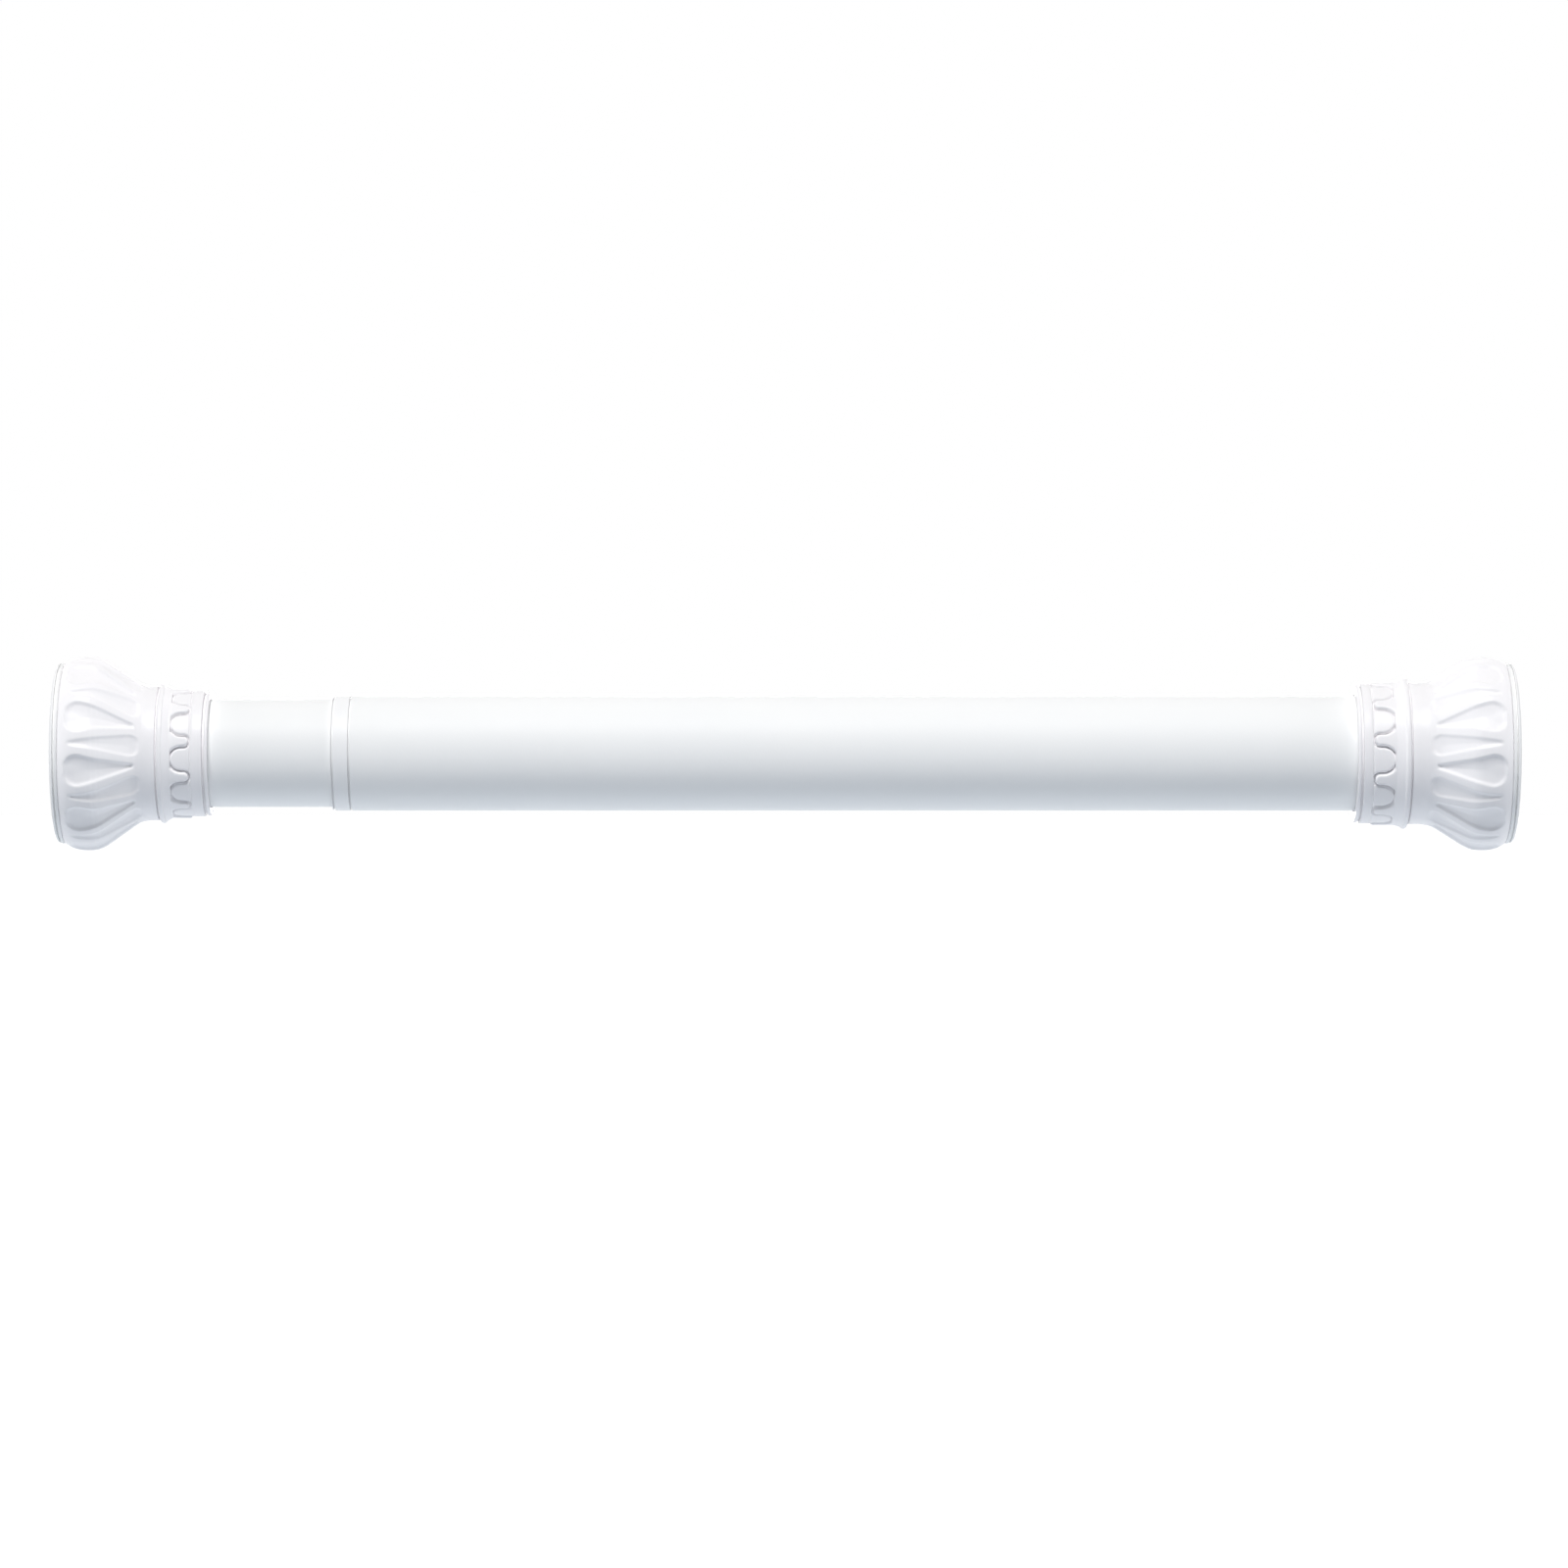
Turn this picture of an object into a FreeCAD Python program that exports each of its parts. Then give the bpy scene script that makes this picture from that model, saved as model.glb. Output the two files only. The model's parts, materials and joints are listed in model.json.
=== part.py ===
import FreeCAD, Part

import math
import os

# Spring tension rod for curtains: two telescoping tubes between two flared wall caps.
# Lengths are millimetres. X runs along the rod, Z is up. The origin is the centre of the
# right wall pad's flat face, and the rod reaches from there towards minus X.
# Every piece is drawn first along plus X, as its distance from the wall that its end
# stands on, and then turned or moved to its end of the rod.

# Tubes
OUTER_TUBE_RADIUS = 16.0
TUBE_WALL = 0.5
TUBE_GAP = 0.5
SHOWN_OUTER_TUBE = 280.3
SHOWN_INNER_TUBE = 33.9
MOUTH_RING_LENGTH = 4.4
MOUTH_SKIRT_LENGTH = 12.0

# A rounding on a turned piece is a row of chords, each turning by at most this many degrees.
# It takes up at most this share of the shorter side next to it.
TURNED_CHORD_ANGLE = 30.0
ROUNDING_SHARE = 0.49

# Clearances
PRESS_FIT = 0.05
RUNNING_FIT = 0.10
STOP_GAP = 0.10

# Wall caps
RIM_RADIUS = 27.1
RIM_ROUNDING = 3.5
RIM_RUN = 1.5
SHOULDER_DEPTH = 12.2
SHOULDER_ROUNDING = 4.0
NECK_DEPTH = 24.1
NECK_ROUNDING = 5.0
RING_WIDTH = 1.8
RING_SLOPE = 2.2
LIP_WIDTH = 0.8
LIP_DROP = 0.3
LIP_CHAMFER = 0.3
GROOVE_WIDTH = 0.7
GROOVE_DEPTH = 0.7
WEB_DEPTH = 19.5
WEB_THICKNESS = 3.5
CAVITY_STEP = 1.2
PAD_SEAT_WIDTH = 2.0

# Flutes of the flare and meander of the collar
REPEATS = 11
FLUTE_DEPTH = 1.2
FLUTE_SCOOP = 2.3
WIDE_FLUTE_START = 4.2
WIDE_FLUTE_END = 23.6
WIDE_FLUTE_HALF_WIDTH = 5.7
WIDE_FLUTE_ROUNDING = 3.2
FLUTE_TIP_HALF_WIDTH = 0.7
FLUTE_TIP_ROUNDING = 0.6
BACK_FLUTE_START = 5.4
BACK_FLUTE_END = 25.0
BACK_FLUTE_HALF_WIDTH = 3.5
BACK_FLUTE_ROUNDING = 2.2
FLUTE_ANGLE = 10.6
LOBE_ANGLE = 6.0
MEANDER_LENGTH = 6.4
MEANDER_TO_END = 4.1
LOBE_SHARE = 0.34
TONGUE_ROUNDING = 1.65

# Wall pads
PAD_RADIUS = 23.2
PAD_THICKNESS = 2.3
PAD_EDGE_ROUNDING = 2.0
PAD_CREST_WIDTH = 0.8
PAD_SPIGOT_LENGTH = 3.2
ROSETTE_RADIUS = 20.4
ROSETTE_FLOOR = 1.5
PETAL_FACE_DEPTH = 0.35
PETAL_GROOVE = 0.3
PETAL_BEVEL = 0.55
OUTER_PETALS = 20
OUTER_PETAL_START = 7.6
SHOULDER_SHORT = 1.9
INNER_PETALS = 16
INNER_PETAL_START = 3.8
INNER_PETAL_END = 7.3
CENTRE_DISC_RADIUS = 3.5

# Cap plugs and their screws
PLUG_LENGTH = 18.0
PLUG_WALL = 2.0
PLUG_RIBS = 6
PLUG_RIB_THICKNESS = 1.6
PLUG_BOSS_RADIUS = 5.0
SCREW_RADIUS = 2.0
SCREW_LENGTH = 14.0
SCREW_HEAD_RADIUS = 4.2
SCREW_HEAD_HEIGHT = 2.8
SCREW_SLOT = 1.0
SCREW_TIP_LENGTH = 2.5
SCREW_TIP_SHARE = 0.33
WASHER_RADIUS = 6.0
WASHER_THICKNESS = 1.0

# Spring cartridge
HOUSING_RADIUS = 13.0
HOUSING_WALL = 1.0
STUB_LENGTH = 10.0
HOUSING_PIN_RADIUS = 1.5
SPRING_LENGTH = 57.0
SPRING_RADIUS = 9.9
SPRING_WIRE_RADIUS = 1.0
SPRING_TURNS = 8
SPRING_CLOSED_TURNS = 1.0
SPRING_STATIONS = 24
SPRING_SIDES = 8
SPRING_STROKE = 20.0
PISTON_THICKNESS = 4.0
PISTON_BOSS_RADIUS = 6.5
PISTON_BOSS_LENGTH = 6.0
PISTON_PIN_RADIUS = 1.0
END_CAP_DEPTH = 8.0
END_CAP_FLANGE = 2.0
END_CAP_PINS = 3
END_CAP_PIN_RADIUS = 1.2
END_CAP_PIN_LENGTH = 4.0

# Adjuster
SPINDLE_RADIUS = 4.0
SPINDLE_FLAT = 3.1
SPINDLE_TAIL_RADIUS = 3.0
REACH_OUT = 120.0
REACH_IN = 12.0
END_MARGIN = 2.0
NUT_ACROSS_FLATS = 13.0
NUT_HEIGHT = 6.5
NUT_PLUG_LIP = 2.0
NUT_PLUG_LIP_DROP = 1.4
GLIDE_RING_LENGTH = 6.2
GLIDE_RING_THICKNESS = 2.9
GLIDE_RING_SLOT = 1.5
NUT_PLUG_SHOULDER = 2.6
NUT_PLUG_SPIGOT = 22.0
NUT_PLUG_RIVETS = 3
RIVET_RADIUS = 1.2
RIVET_LENGTH = 3.5
STOP_WASHER_RADIUS = 9.0
STOP_WASHER_THICKNESS = 2.0
STOP_SCREW_RADIUS = 1.6
STOP_SCREW_LENGTH = 12.0
STOP_SCREW_HEAD_RADIUS = 3.4
STOP_SCREW_HEAD_HEIGHT = 2.4

# Worked out
OUTER_TUBE_BORE = OUTER_TUBE_RADIUS - TUBE_WALL
INNER_TUBE_RADIUS = OUTER_TUBE_BORE - TUBE_GAP
INNER_TUBE_BORE = INNER_TUBE_RADIUS - TUBE_WALL
TUBE_STOP_DEPTH = WEB_DEPTH + WEB_THICKNESS
PLUG_END_DEPTH = TUBE_STOP_DEPTH + PLUG_LENGTH
HOUSING_BORE = HOUSING_RADIUS - HOUSING_WALL
STUB_RADIUS = HOUSING_BORE - PRESS_FIT
SPRING_START = PLUG_END_DEPTH + STUB_LENGTH
PISTON_START = SPRING_START + SPRING_LENGTH
PISTON_END = PISTON_START + PISTON_THICKNESS
END_CAP_START = PISTON_END + STOP_GAP
HOUSING_END = END_CAP_START + END_CAP_DEPTH
CARTRIDGE_END = HOUSING_END + END_CAP_FLANGE
NUT_PLUG_START = CARTRIDGE_END + SPRING_STROKE + REACH_IN + END_MARGIN
GLIDE_NECK_START = NUT_PLUG_START + NUT_PLUG_LIP
GLIDE_NECK_LENGTH = GLIDE_RING_LENGTH + 2 * RUNNING_FIT
INNER_TUBE_START = GLIDE_NECK_START + GLIDE_NECK_LENGTH + NUT_PLUG_SHOULDER
NUT_PLUG_END = INNER_TUBE_START + NUT_PLUG_SPIGOT
SPINDLE_END = NUT_PLUG_END + REACH_OUT + END_MARGIN
SPINDLE_BORE = SPINDLE_RADIUS + RUNNING_FIT
GLIDE_RING_RADIUS = OUTER_TUBE_BORE - RUNNING_FIT
GLIDE_RING_BORE = GLIDE_RING_RADIUS - GLIDE_RING_THICKNESS

AXIS = FreeCAD.Vector(1, 0, 0)
ORIGIN = FreeCAD.Vector(0, 0, 0)


class Cap:
    """The sizes that differ between the two wall caps."""

    def __init__(self, side, length, tube_radius, collar_wall, neck_rise, ring_rise, layer_rise):
        self.side = side
        self.length = length
        self.tube_radius = tube_radius
        self.tube_bore = tube_radius - TUBE_WALL
        self.socket_radius = tube_radius + PRESS_FIT
        self.collar_radius = self.socket_radius + collar_wall
        self.neck_radius = self.collar_radius + neck_rise
        self.ring_radius = self.collar_radius + ring_rise
        self.layer_radius = self.collar_radius + layer_rise
        self.tongue_end = length - MEANDER_TO_END
        self.lobe_start = self.tongue_end - MEANDER_LENGTH
        self.ring_end = self.lobe_start - RING_SLOPE
        self.ring_start = self.ring_end - RING_WIDTH

    def feature_angle(self, below, step, count):
        """Turn about X from straight up to a feature, given its angle below the side that is seen."""
        return self.side * (90 + below) + 360 * step / count


LEFT_CAP = Cap(side=1, length=43.0, tube_radius=INNER_TUBE_RADIUS, collar_wall=2.65,
               neck_rise=1.1, ring_rise=1.8, layer_rise=0.4)
RIGHT_CAP = Cap(side=-1, length=44.5, tube_radius=OUTER_TUBE_RADIUS, collar_wall=3.6,
                neck_rise=0.15, ring_rise=1.45, layer_rise=0.4)

OUTER_TUBE_END = RIGHT_CAP.length + SHOWN_OUTER_TUBE
MOUTH_END = OUTER_TUBE_END + MOUTH_RING_LENGTH
ROD_LENGTH = MOUTH_END + SHOWN_INNER_TUBE + LEFT_CAP.length


def at_right_end(shape):
    """Turn a piece drawn from the right wall so that it reaches towards minus X."""
    return shape.rotated(ORIGIN, FreeCAD.Vector(0, 0, 1), 180)


def at_left_end(shape):
    """Move a piece drawn from the left wall to that wall."""
    return shape.translated(FreeCAD.Vector(-ROD_LENGTH, 0, 0))


def about_axis(shape, angle):
    return shape.rotated(ORIGIN, AXIS, angle)


def on_arc(centre, radius, angle):
    """Point on a circle in the XY plane, at an angle in degrees."""
    radians = math.radians(angle)
    return centre + FreeCAD.Vector(math.cos(radians), math.sin(radians), 0) * radius


def arc_edges(centre, radius, start, end, chord_angle=0.0):
    """Edges along an arc: one true arc, or a row of chords where a chord angle is given."""
    if chord_angle == 0:
        middle = on_arc(centre, radius, (start + end) / 2)
        return [Part.Arc(on_arc(centre, radius, start), middle, on_arc(centre, radius, end)).toShape()]
    count = math.ceil(abs(end - start) / chord_angle)
    points = [on_arc(centre, radius, start + (end - start) * step / count) for step in range(count + 1)]
    return [Part.makeLine(*pair) for pair in zip(points, points[1:])]


def rounded_face(corners, chord_angle=0.0):
    """Flat face in the XY plane inside corners (along, across) or (along, across, rounding)."""
    points = [FreeCAD.Vector(corner[0], corner[1], 0) for corner in corners]
    bends = []
    for index, here in enumerate(points):
        if len(corners[index]) == 2:
            bends.append((here, [], here))
            continue
        to_before = points[index - 1] - here
        to_after = points[(index + 1) % len(points)] - here
        half_angle = to_before.getAngle(to_after) / 2
        room = ROUNDING_SHARE * min(to_before.Length, to_after.Length)
        setback = min(corners[index][2] / math.tan(half_angle), room)
        radius = setback * math.tan(half_angle)
        start = here + to_before.normalize() * setback
        end = here + to_after.normalize() * setback
        centre = here + (to_before + to_after).normalize() * (radius / math.sin(half_angle))
        first = math.degrees(math.atan2(start.y - centre.y, start.x - centre.x))
        last = math.degrees(math.atan2(end.y - centre.y, end.x - centre.x))
        turn = (last - first + 180) % 360 - 180
        bends.append((start, arc_edges(centre, radius, first, first + turn, chord_angle), end))
    edges = []
    for index, (start, arc, end) in enumerate(bends):
        edges += arc + [Part.makeLine(end, bends[(index + 1) % len(bends)][0])]
    return Part.Face(Part.Wire(edges))


def turned(corners):
    """Solid of revolution about the rod from corners (distance, radius) or (distance, radius, rounding)."""
    return rounded_face(corners, TURNED_CHORD_ANGLE).revolve(ORIGIN, AXIS, 360)


def cylinder(start, length, radius, bore=0.0):
    solid = Part.makeCylinder(radius, length, FreeCAD.Vector(start, 0, 0), AXIS)
    if bore:
        solid = solid.cut(Part.makeCylinder(bore, length, FreeCAD.Vector(start, 0, 0), AXIS))
    return solid


def radial_pin(distance, inner_radius, outer_radius, pin_radius, angle):
    """Cylinder that points away from the rod axis."""
    base = FreeCAD.Vector(distance, 0, inner_radius)
    pin = Part.makeCylinder(pin_radius, outer_radius - inner_radius, base, FreeCAD.Vector(0, 0, 1))
    return about_axis(pin, angle)


def turned_copies(shape, angles):
    return [about_axis(shape, angle) for angle in angles]


# Wall caps

def flare_corners(cap):
    """Outline of the flare from the pad joint to the neck."""
    return [
        (PAD_THICKNESS, PAD_RADIUS),
        (PAD_THICKNESS + RIM_RUN, RIM_RADIUS, RIM_ROUNDING),
        (SHOULDER_DEPTH, RIM_RADIUS, SHOULDER_ROUNDING),
        (NECK_DEPTH, cap.neck_radius, NECK_ROUNDING),
    ]


def cap_body(cap):
    """Flared body with its ring, collar, groove and lip, still without flutes and meander."""
    groove_start = cap.length - LIP_WIDTH - GROOVE_WIDTH
    groove_middle = groove_start + GROOVE_WIDTH / 2
    lip_radius = cap.collar_radius - LIP_DROP
    return turned(
        [(PAD_THICKNESS, 0)]
        + flare_corners(cap)
        + [
            (cap.ring_start - GROOVE_WIDTH, cap.neck_radius),
            (cap.ring_start, cap.ring_radius),
            (cap.ring_end, cap.ring_radius, RING_SLOPE),
            (cap.lobe_start, cap.layer_radius),
            (cap.lobe_start, cap.collar_radius),
            (groove_start, cap.collar_radius),
            (groove_middle, cap.collar_radius - GROOVE_DEPTH),
            (groove_start + GROOVE_WIDTH, lip_radius),
            (cap.length - LIP_CHAMFER, lip_radius),
            (cap.length, lip_radius - LIP_CHAMFER),
            (cap.length, 0),
        ]
    )


def cap_hollow(cap):
    """Space for the pad spigot, the screw and the tube, with the web and its screw hole between."""
    pocket_radius = PAD_RADIUS - PAD_SEAT_WIDTH
    pocket_end = PAD_THICKNESS + PAD_SPIGOT_LENGTH + PRESS_FIT
    front = turned([
        (PAD_THICKNESS, 0),
        (PAD_THICKNESS, pocket_radius),
        (pocket_end, pocket_radius),
        (pocket_end, pocket_radius - CAVITY_STEP),
        (SHOULDER_DEPTH, pocket_radius - CAVITY_STEP),
        (SHOULDER_DEPTH, cap.tube_radius),
        (WEB_DEPTH, cap.tube_radius),
        (WEB_DEPTH, 0),
    ])
    socket = cylinder(TUBE_STOP_DEPTH, cap.length - TUBE_STOP_DEPTH, cap.socket_radius)
    hole = cylinder(WEB_DEPTH, WEB_THICKNESS, SCREW_RADIUS + RUNNING_FIT)
    return front.fuse([socket, hole])


def flute_cutter(cap, start, end, start_half_width, start_rounding, end_half_width, end_rounding):
    """A flute's rounded outline, over a floor that follows the flare at the flute's depth."""
    outline = rounded_face([
        (start, -start_half_width, start_rounding),
        (start, start_half_width, start_rounding),
        (end, end_half_width, end_rounding),
        (end, -end_half_width, end_rounding),
    ])
    top = RIM_RADIUS + FLUTE_DEPTH
    floor = [
        (start, top),
        (start, RIM_RADIUS - 2 * FLUTE_DEPTH),
        (start + FLUTE_SCOOP, RIM_RADIUS - FLUTE_DEPTH),
        (SHOULDER_DEPTH, RIM_RADIUS - FLUTE_DEPTH),
        (NECK_DEPTH, cap.neck_radius - FLUTE_DEPTH),
        (cap.ring_start, cap.neck_radius - FLUTE_DEPTH),
        (cap.ring_start, top),
        (start, top),
    ]
    side = Part.makePolygon([FreeCAD.Vector(along, -RIM_RADIUS, height) for along, height in floor])
    block = outline.extrude(FreeCAD.Vector(0, 0, top))
    return block.common(Part.Face(side).extrude(FreeCAD.Vector(0, 2 * RIM_RADIUS, 0)))


def lobe_cutter(cap):
    """One round lobe of the meander, with a rounded tongue at each side of its open mouth."""
    lobe_radius = LOBE_SHARE * 2 * math.pi * cap.layer_radius / REPEATS
    centre = cap.lobe_start + lobe_radius
    tip = cap.tongue_end - TONGUE_ROUNDING
    spread = math.sqrt((lobe_radius + TONGUE_ROUNDING) ** 2 - (tip - centre) ** 2)
    touch = math.degrees(math.atan2(spread, tip - centre))
    mouth = [
        FreeCAD.Vector(cap.tongue_end, spread, 0),
        FreeCAD.Vector(cap.length, spread, 0),
        FreeCAD.Vector(cap.length, -spread, 0),
        FreeCAD.Vector(cap.tongue_end, -spread, 0),
    ]
    edges = arc_edges(FreeCAD.Vector(centre, 0, 0), lobe_radius, 360 - touch, touch)
    edges += arc_edges(FreeCAD.Vector(tip, spread, 0), TONGUE_ROUNDING, touch + 180, 360)
    edges += [Part.makeLine(*pair) for pair in zip(mouth, mouth[1:])]
    edges += arc_edges(FreeCAD.Vector(tip, -spread, 0), TONGUE_ROUNDING, 0, 180 - touch)
    return Part.Face(Part.Wire(edges)).extrude(FreeCAD.Vector(0, 0, cap.ring_radius + FLUTE_DEPTH))


def meander_layer(cap):
    """Raised layer between the ring and the collar, with the meander for its edge."""
    layer = turned([
        (cap.lobe_start, cap.collar_radius - GROOVE_DEPTH),
        (cap.lobe_start, cap.layer_radius),
        (cap.tongue_end, cap.layer_radius),
        (cap.tongue_end, cap.collar_radius - GROOVE_DEPTH),
    ])
    angles = [cap.feature_angle(LOBE_ANGLE, step, REPEATS) for step in range(REPEATS)]
    return layer.cut(turned_copies(lobe_cutter(cap), angles))


def cap_shell(cap):
    wide = flute_cutter(cap, WIDE_FLUTE_START, WIDE_FLUTE_END, WIDE_FLUTE_HALF_WIDTH,
                        WIDE_FLUTE_ROUNDING, FLUTE_TIP_HALF_WIDTH, FLUTE_TIP_ROUNDING)
    back = flute_cutter(cap, BACK_FLUTE_START, BACK_FLUTE_END, FLUTE_TIP_HALF_WIDTH,
                        FLUTE_TIP_ROUNDING, BACK_FLUTE_HALF_WIDTH, BACK_FLUTE_ROUNDING)
    wide_angles = [cap.feature_angle(FLUTE_ANGLE, step, REPEATS) for step in range(REPEATS)]
    back_angles = [cap.feature_angle(FLUTE_ANGLE, step + 0.5, REPEATS) for step in range(REPEATS)]
    cutters = turned_copies(wide, wide_angles) + turned_copies(back, back_angles)
    return cap_body(cap).fuse(meander_layer(cap)).cut(cutters + [cap_hollow(cap)])


# Wall pads

def inset_corner(before, here, after, distance):
    """Corner of a flat outline, moved inwards so that both its sides move by a distance."""
    towards = FreeCAD.Vector(1, 0, 0)
    first = towards.cross(here - before).normalize()
    second = towards.cross(after - here).normalize()
    return here + (first + second) * (distance / (1 + first.dot(second)))


def petal(corners):
    """Raised petal with sloping edges, from its outline (out, across) at the rosette floor."""
    low = [FreeCAD.Vector(ROSETTE_FLOOR, across, out) for out, across in corners]
    lift = FreeCAD.Vector(PETAL_FACE_DEPTH - ROSETTE_FLOOR, 0, 0)
    high = [
        inset_corner(low[index - 1], low[index], low[(index + 1) % len(low)], PETAL_BEVEL) + lift
        for index in range(len(low))
    ]
    outlines = [low, high]
    for index in range(len(low)):
        outlines.append([low[index - 1], low[index], high[index], high[index - 1]])
    faces = [Part.Face(Part.makePolygon(outline + outline[:1])) for outline in outlines]
    return Part.makeSolid(Part.makeShell(faces))


def outer_petal():
    """Long petal: round end at the inner ring, shoulders, and a point at the rim."""
    half_step = math.pi / OUTER_PETALS
    inner_half = OUTER_PETAL_START * math.tan(half_step) - PETAL_GROOVE / 2
    shoulder = ROSETTE_RADIUS - SHOULDER_SHORT
    shoulder_half = shoulder * math.tan(half_step) - PETAL_GROOVE / 2
    return petal([
        (OUTER_PETAL_START, 0),
        (OUTER_PETAL_START + inner_half, inner_half),
        (shoulder, shoulder_half),
        (ROSETTE_RADIUS, 0),
        (shoulder, -shoulder_half),
        (OUTER_PETAL_START + inner_half, -inner_half),
    ])


def inner_petal():
    """Short petal of the inner ring, wider at its outer end."""
    half_step = math.pi / INNER_PETALS
    start_half = INNER_PETAL_START * math.tan(half_step) - PETAL_GROOVE / 2
    shoulder = (INNER_PETAL_START + INNER_PETAL_END) / 2
    shoulder_half = shoulder * math.tan(half_step) - PETAL_GROOVE / 2
    return petal([
        (INNER_PETAL_START, start_half),
        (shoulder, shoulder_half),
        (INNER_PETAL_END, 0),
        (shoulder, -shoulder_half),
        (INNER_PETAL_START, -start_half),
    ])


def wall_pad():
    """Soft pad with a round ring, a spigot for the cap, and the petal rosette in relief."""
    crest_outer = PAD_RADIUS - PAD_EDGE_ROUNDING
    crest_inner = crest_outer - PAD_CREST_WIDTH
    spigot_radius = PAD_RADIUS - PAD_SEAT_WIDTH - PRESS_FIT
    spigot_end = PAD_THICKNESS + PAD_SPIGOT_LENGTH
    body = turned([
        (ROSETTE_FLOOR, 0),
        (ROSETTE_FLOOR, ROSETTE_RADIUS),
        (0, crest_inner),
        (0, PAD_RADIUS, PAD_EDGE_ROUNDING),
        (PAD_THICKNESS, PAD_RADIUS),
        (PAD_THICKNESS, spigot_radius),
        (spigot_end, spigot_radius),
        (spigot_end, 0),
    ])
    disc = turned([
        (0, 0),
        (0, CENTRE_DISC_RADIUS - PETAL_BEVEL),
        (ROSETTE_FLOOR, CENTRE_DISC_RADIUS),
        (ROSETTE_FLOOR, 0),
    ])
    outer = turned_copies(outer_petal(), [360 * step / OUTER_PETALS for step in range(OUTER_PETALS)])
    inner = turned_copies(inner_petal(), [360 * step / INNER_PETALS for step in range(INNER_PETALS)])
    return body.fuse([disc] + outer + inner)


# Cap plugs and screws

def cap_plug(cap):
    """Moulded plug pressed into the tube end, with a screw boss, ribs and a rim."""
    radius = cap.tube_bore - PRESS_FIT
    cup = turned([
        (TUBE_STOP_DEPTH, 0),
        (TUBE_STOP_DEPTH, radius),
        (PLUG_END_DEPTH, radius),
        (PLUG_END_DEPTH, radius - PLUG_WALL),
        (TUBE_STOP_DEPTH + PLUG_WALL, radius - PLUG_WALL),
        (TUBE_STOP_DEPTH + PLUG_WALL, 0),
    ])
    boss = cylinder(TUBE_STOP_DEPTH, PLUG_LENGTH, PLUG_BOSS_RADIUS)
    rib = Part.makeBox(PLUG_LENGTH, PLUG_RIB_THICKNESS, radius - PLUG_WALL / 2,
                       FreeCAD.Vector(TUBE_STOP_DEPTH, -PLUG_RIB_THICKNESS / 2, 0))
    ribs = turned_copies(rib, [360 * step / PLUG_RIBS for step in range(PLUG_RIBS)])
    return cup.fuse([boss] + ribs).cut(plug_screw_hole())


def plug_screw_hole():
    return cylinder(TUBE_STOP_DEPTH, PLUG_LENGTH, SCREW_RADIUS + PRESS_FIT)


def right_cap_plug():
    """The right plug also carries the spring cartridge on a stub."""
    stub = cylinder(PLUG_END_DEPTH - PLUG_WALL, PLUG_WALL + STUB_LENGTH, STUB_RADIUS, PLUG_BOSS_RADIUS)
    floor = cylinder(SPRING_START - PLUG_WALL, PLUG_WALL, STUB_RADIUS)
    ledge_radius = RIGHT_CAP.tube_bore - PRESS_FIT
    ledge = cylinder(PLUG_END_DEPTH - PLUG_WALL, PLUG_WALL, ledge_radius, PLUG_BOSS_RADIUS)
    return cap_plug(RIGHT_CAP).fuse([stub, floor, ledge]).cut(housing_pin())


def screw(seat, radius, length, head_radius, head_height, tip_length):
    """Slotted pan-head screw whose head stands in front of the seat."""
    shape = turned([
        (seat - head_height, 0),
        (seat - head_height, head_radius, head_height / 2),
        (seat, head_radius),
        (seat, radius),
        (seat + length - tip_length, radius),
        (seat + length, SCREW_TIP_SHARE * radius),
        (seat + length, 0),
    ])
    slot = Part.makeBox(head_height / 2, 2 * head_radius, SCREW_SLOT,
                        FreeCAD.Vector(seat - head_height, -head_radius, -SCREW_SLOT / 2))
    return shape.cut(slot)


def cap_screw():
    return screw(WEB_DEPTH - WASHER_THICKNESS, SCREW_RADIUS, SCREW_LENGTH, SCREW_HEAD_RADIUS,
                 SCREW_HEAD_HEIGHT, SCREW_TIP_LENGTH)


def cap_washer():
    return cylinder(WEB_DEPTH - WASHER_THICKNESS, WASHER_THICKNESS, WASHER_RADIUS,
                    SCREW_RADIUS + RUNNING_FIT)


# Tubes

def outer_tube():
    return cylinder(TUBE_STOP_DEPTH, OUTER_TUBE_END - TUBE_STOP_DEPTH, OUTER_TUBE_RADIUS,
                    OUTER_TUBE_BORE)


def mouth_ring():
    """Moulded ring on the tube mouth, whose skirt fills the gap between the tubes."""
    bore = INNER_TUBE_RADIUS + RUNNING_FIT
    skirt = OUTER_TUBE_BORE - PRESS_FIT
    return turned([
        (OUTER_TUBE_END - MOUTH_SKIRT_LENGTH, bore),
        (OUTER_TUBE_END - MOUTH_SKIRT_LENGTH, skirt),
        (OUTER_TUBE_END, skirt),
        (OUTER_TUBE_END, OUTER_TUBE_RADIUS),
        (MOUTH_END - TUBE_WALL, OUTER_TUBE_RADIUS),
        (MOUTH_END, OUTER_TUBE_RADIUS - TUBE_WALL / 2),
        (MOUTH_END, bore),
    ])


def inner_tube():
    tube = cylinder(INNER_TUBE_START, ROD_LENGTH - TUBE_STOP_DEPTH - INNER_TUBE_START,
                    INNER_TUBE_RADIUS, INNER_TUBE_BORE)
    return tube.cut(nut_plug_rivets())


# Spring cartridge

def housing_pin():
    """Cross pin that ties the housing to the stub of the right plug."""
    middle = PLUG_END_DEPTH + STUB_LENGTH / 2
    return Part.makeCylinder(HOUSING_PIN_RADIUS, 2 * HOUSING_BORE,
                             FreeCAD.Vector(middle, 0, -HOUSING_BORE), FreeCAD.Vector(0, 0, 1))


def spring_housing():
    tube = cylinder(PLUG_END_DEPTH, HOUSING_END - PLUG_END_DEPTH, HOUSING_RADIUS, HOUSING_BORE)
    return tube.cut([housing_pin()] + end_cap_pins())


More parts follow.
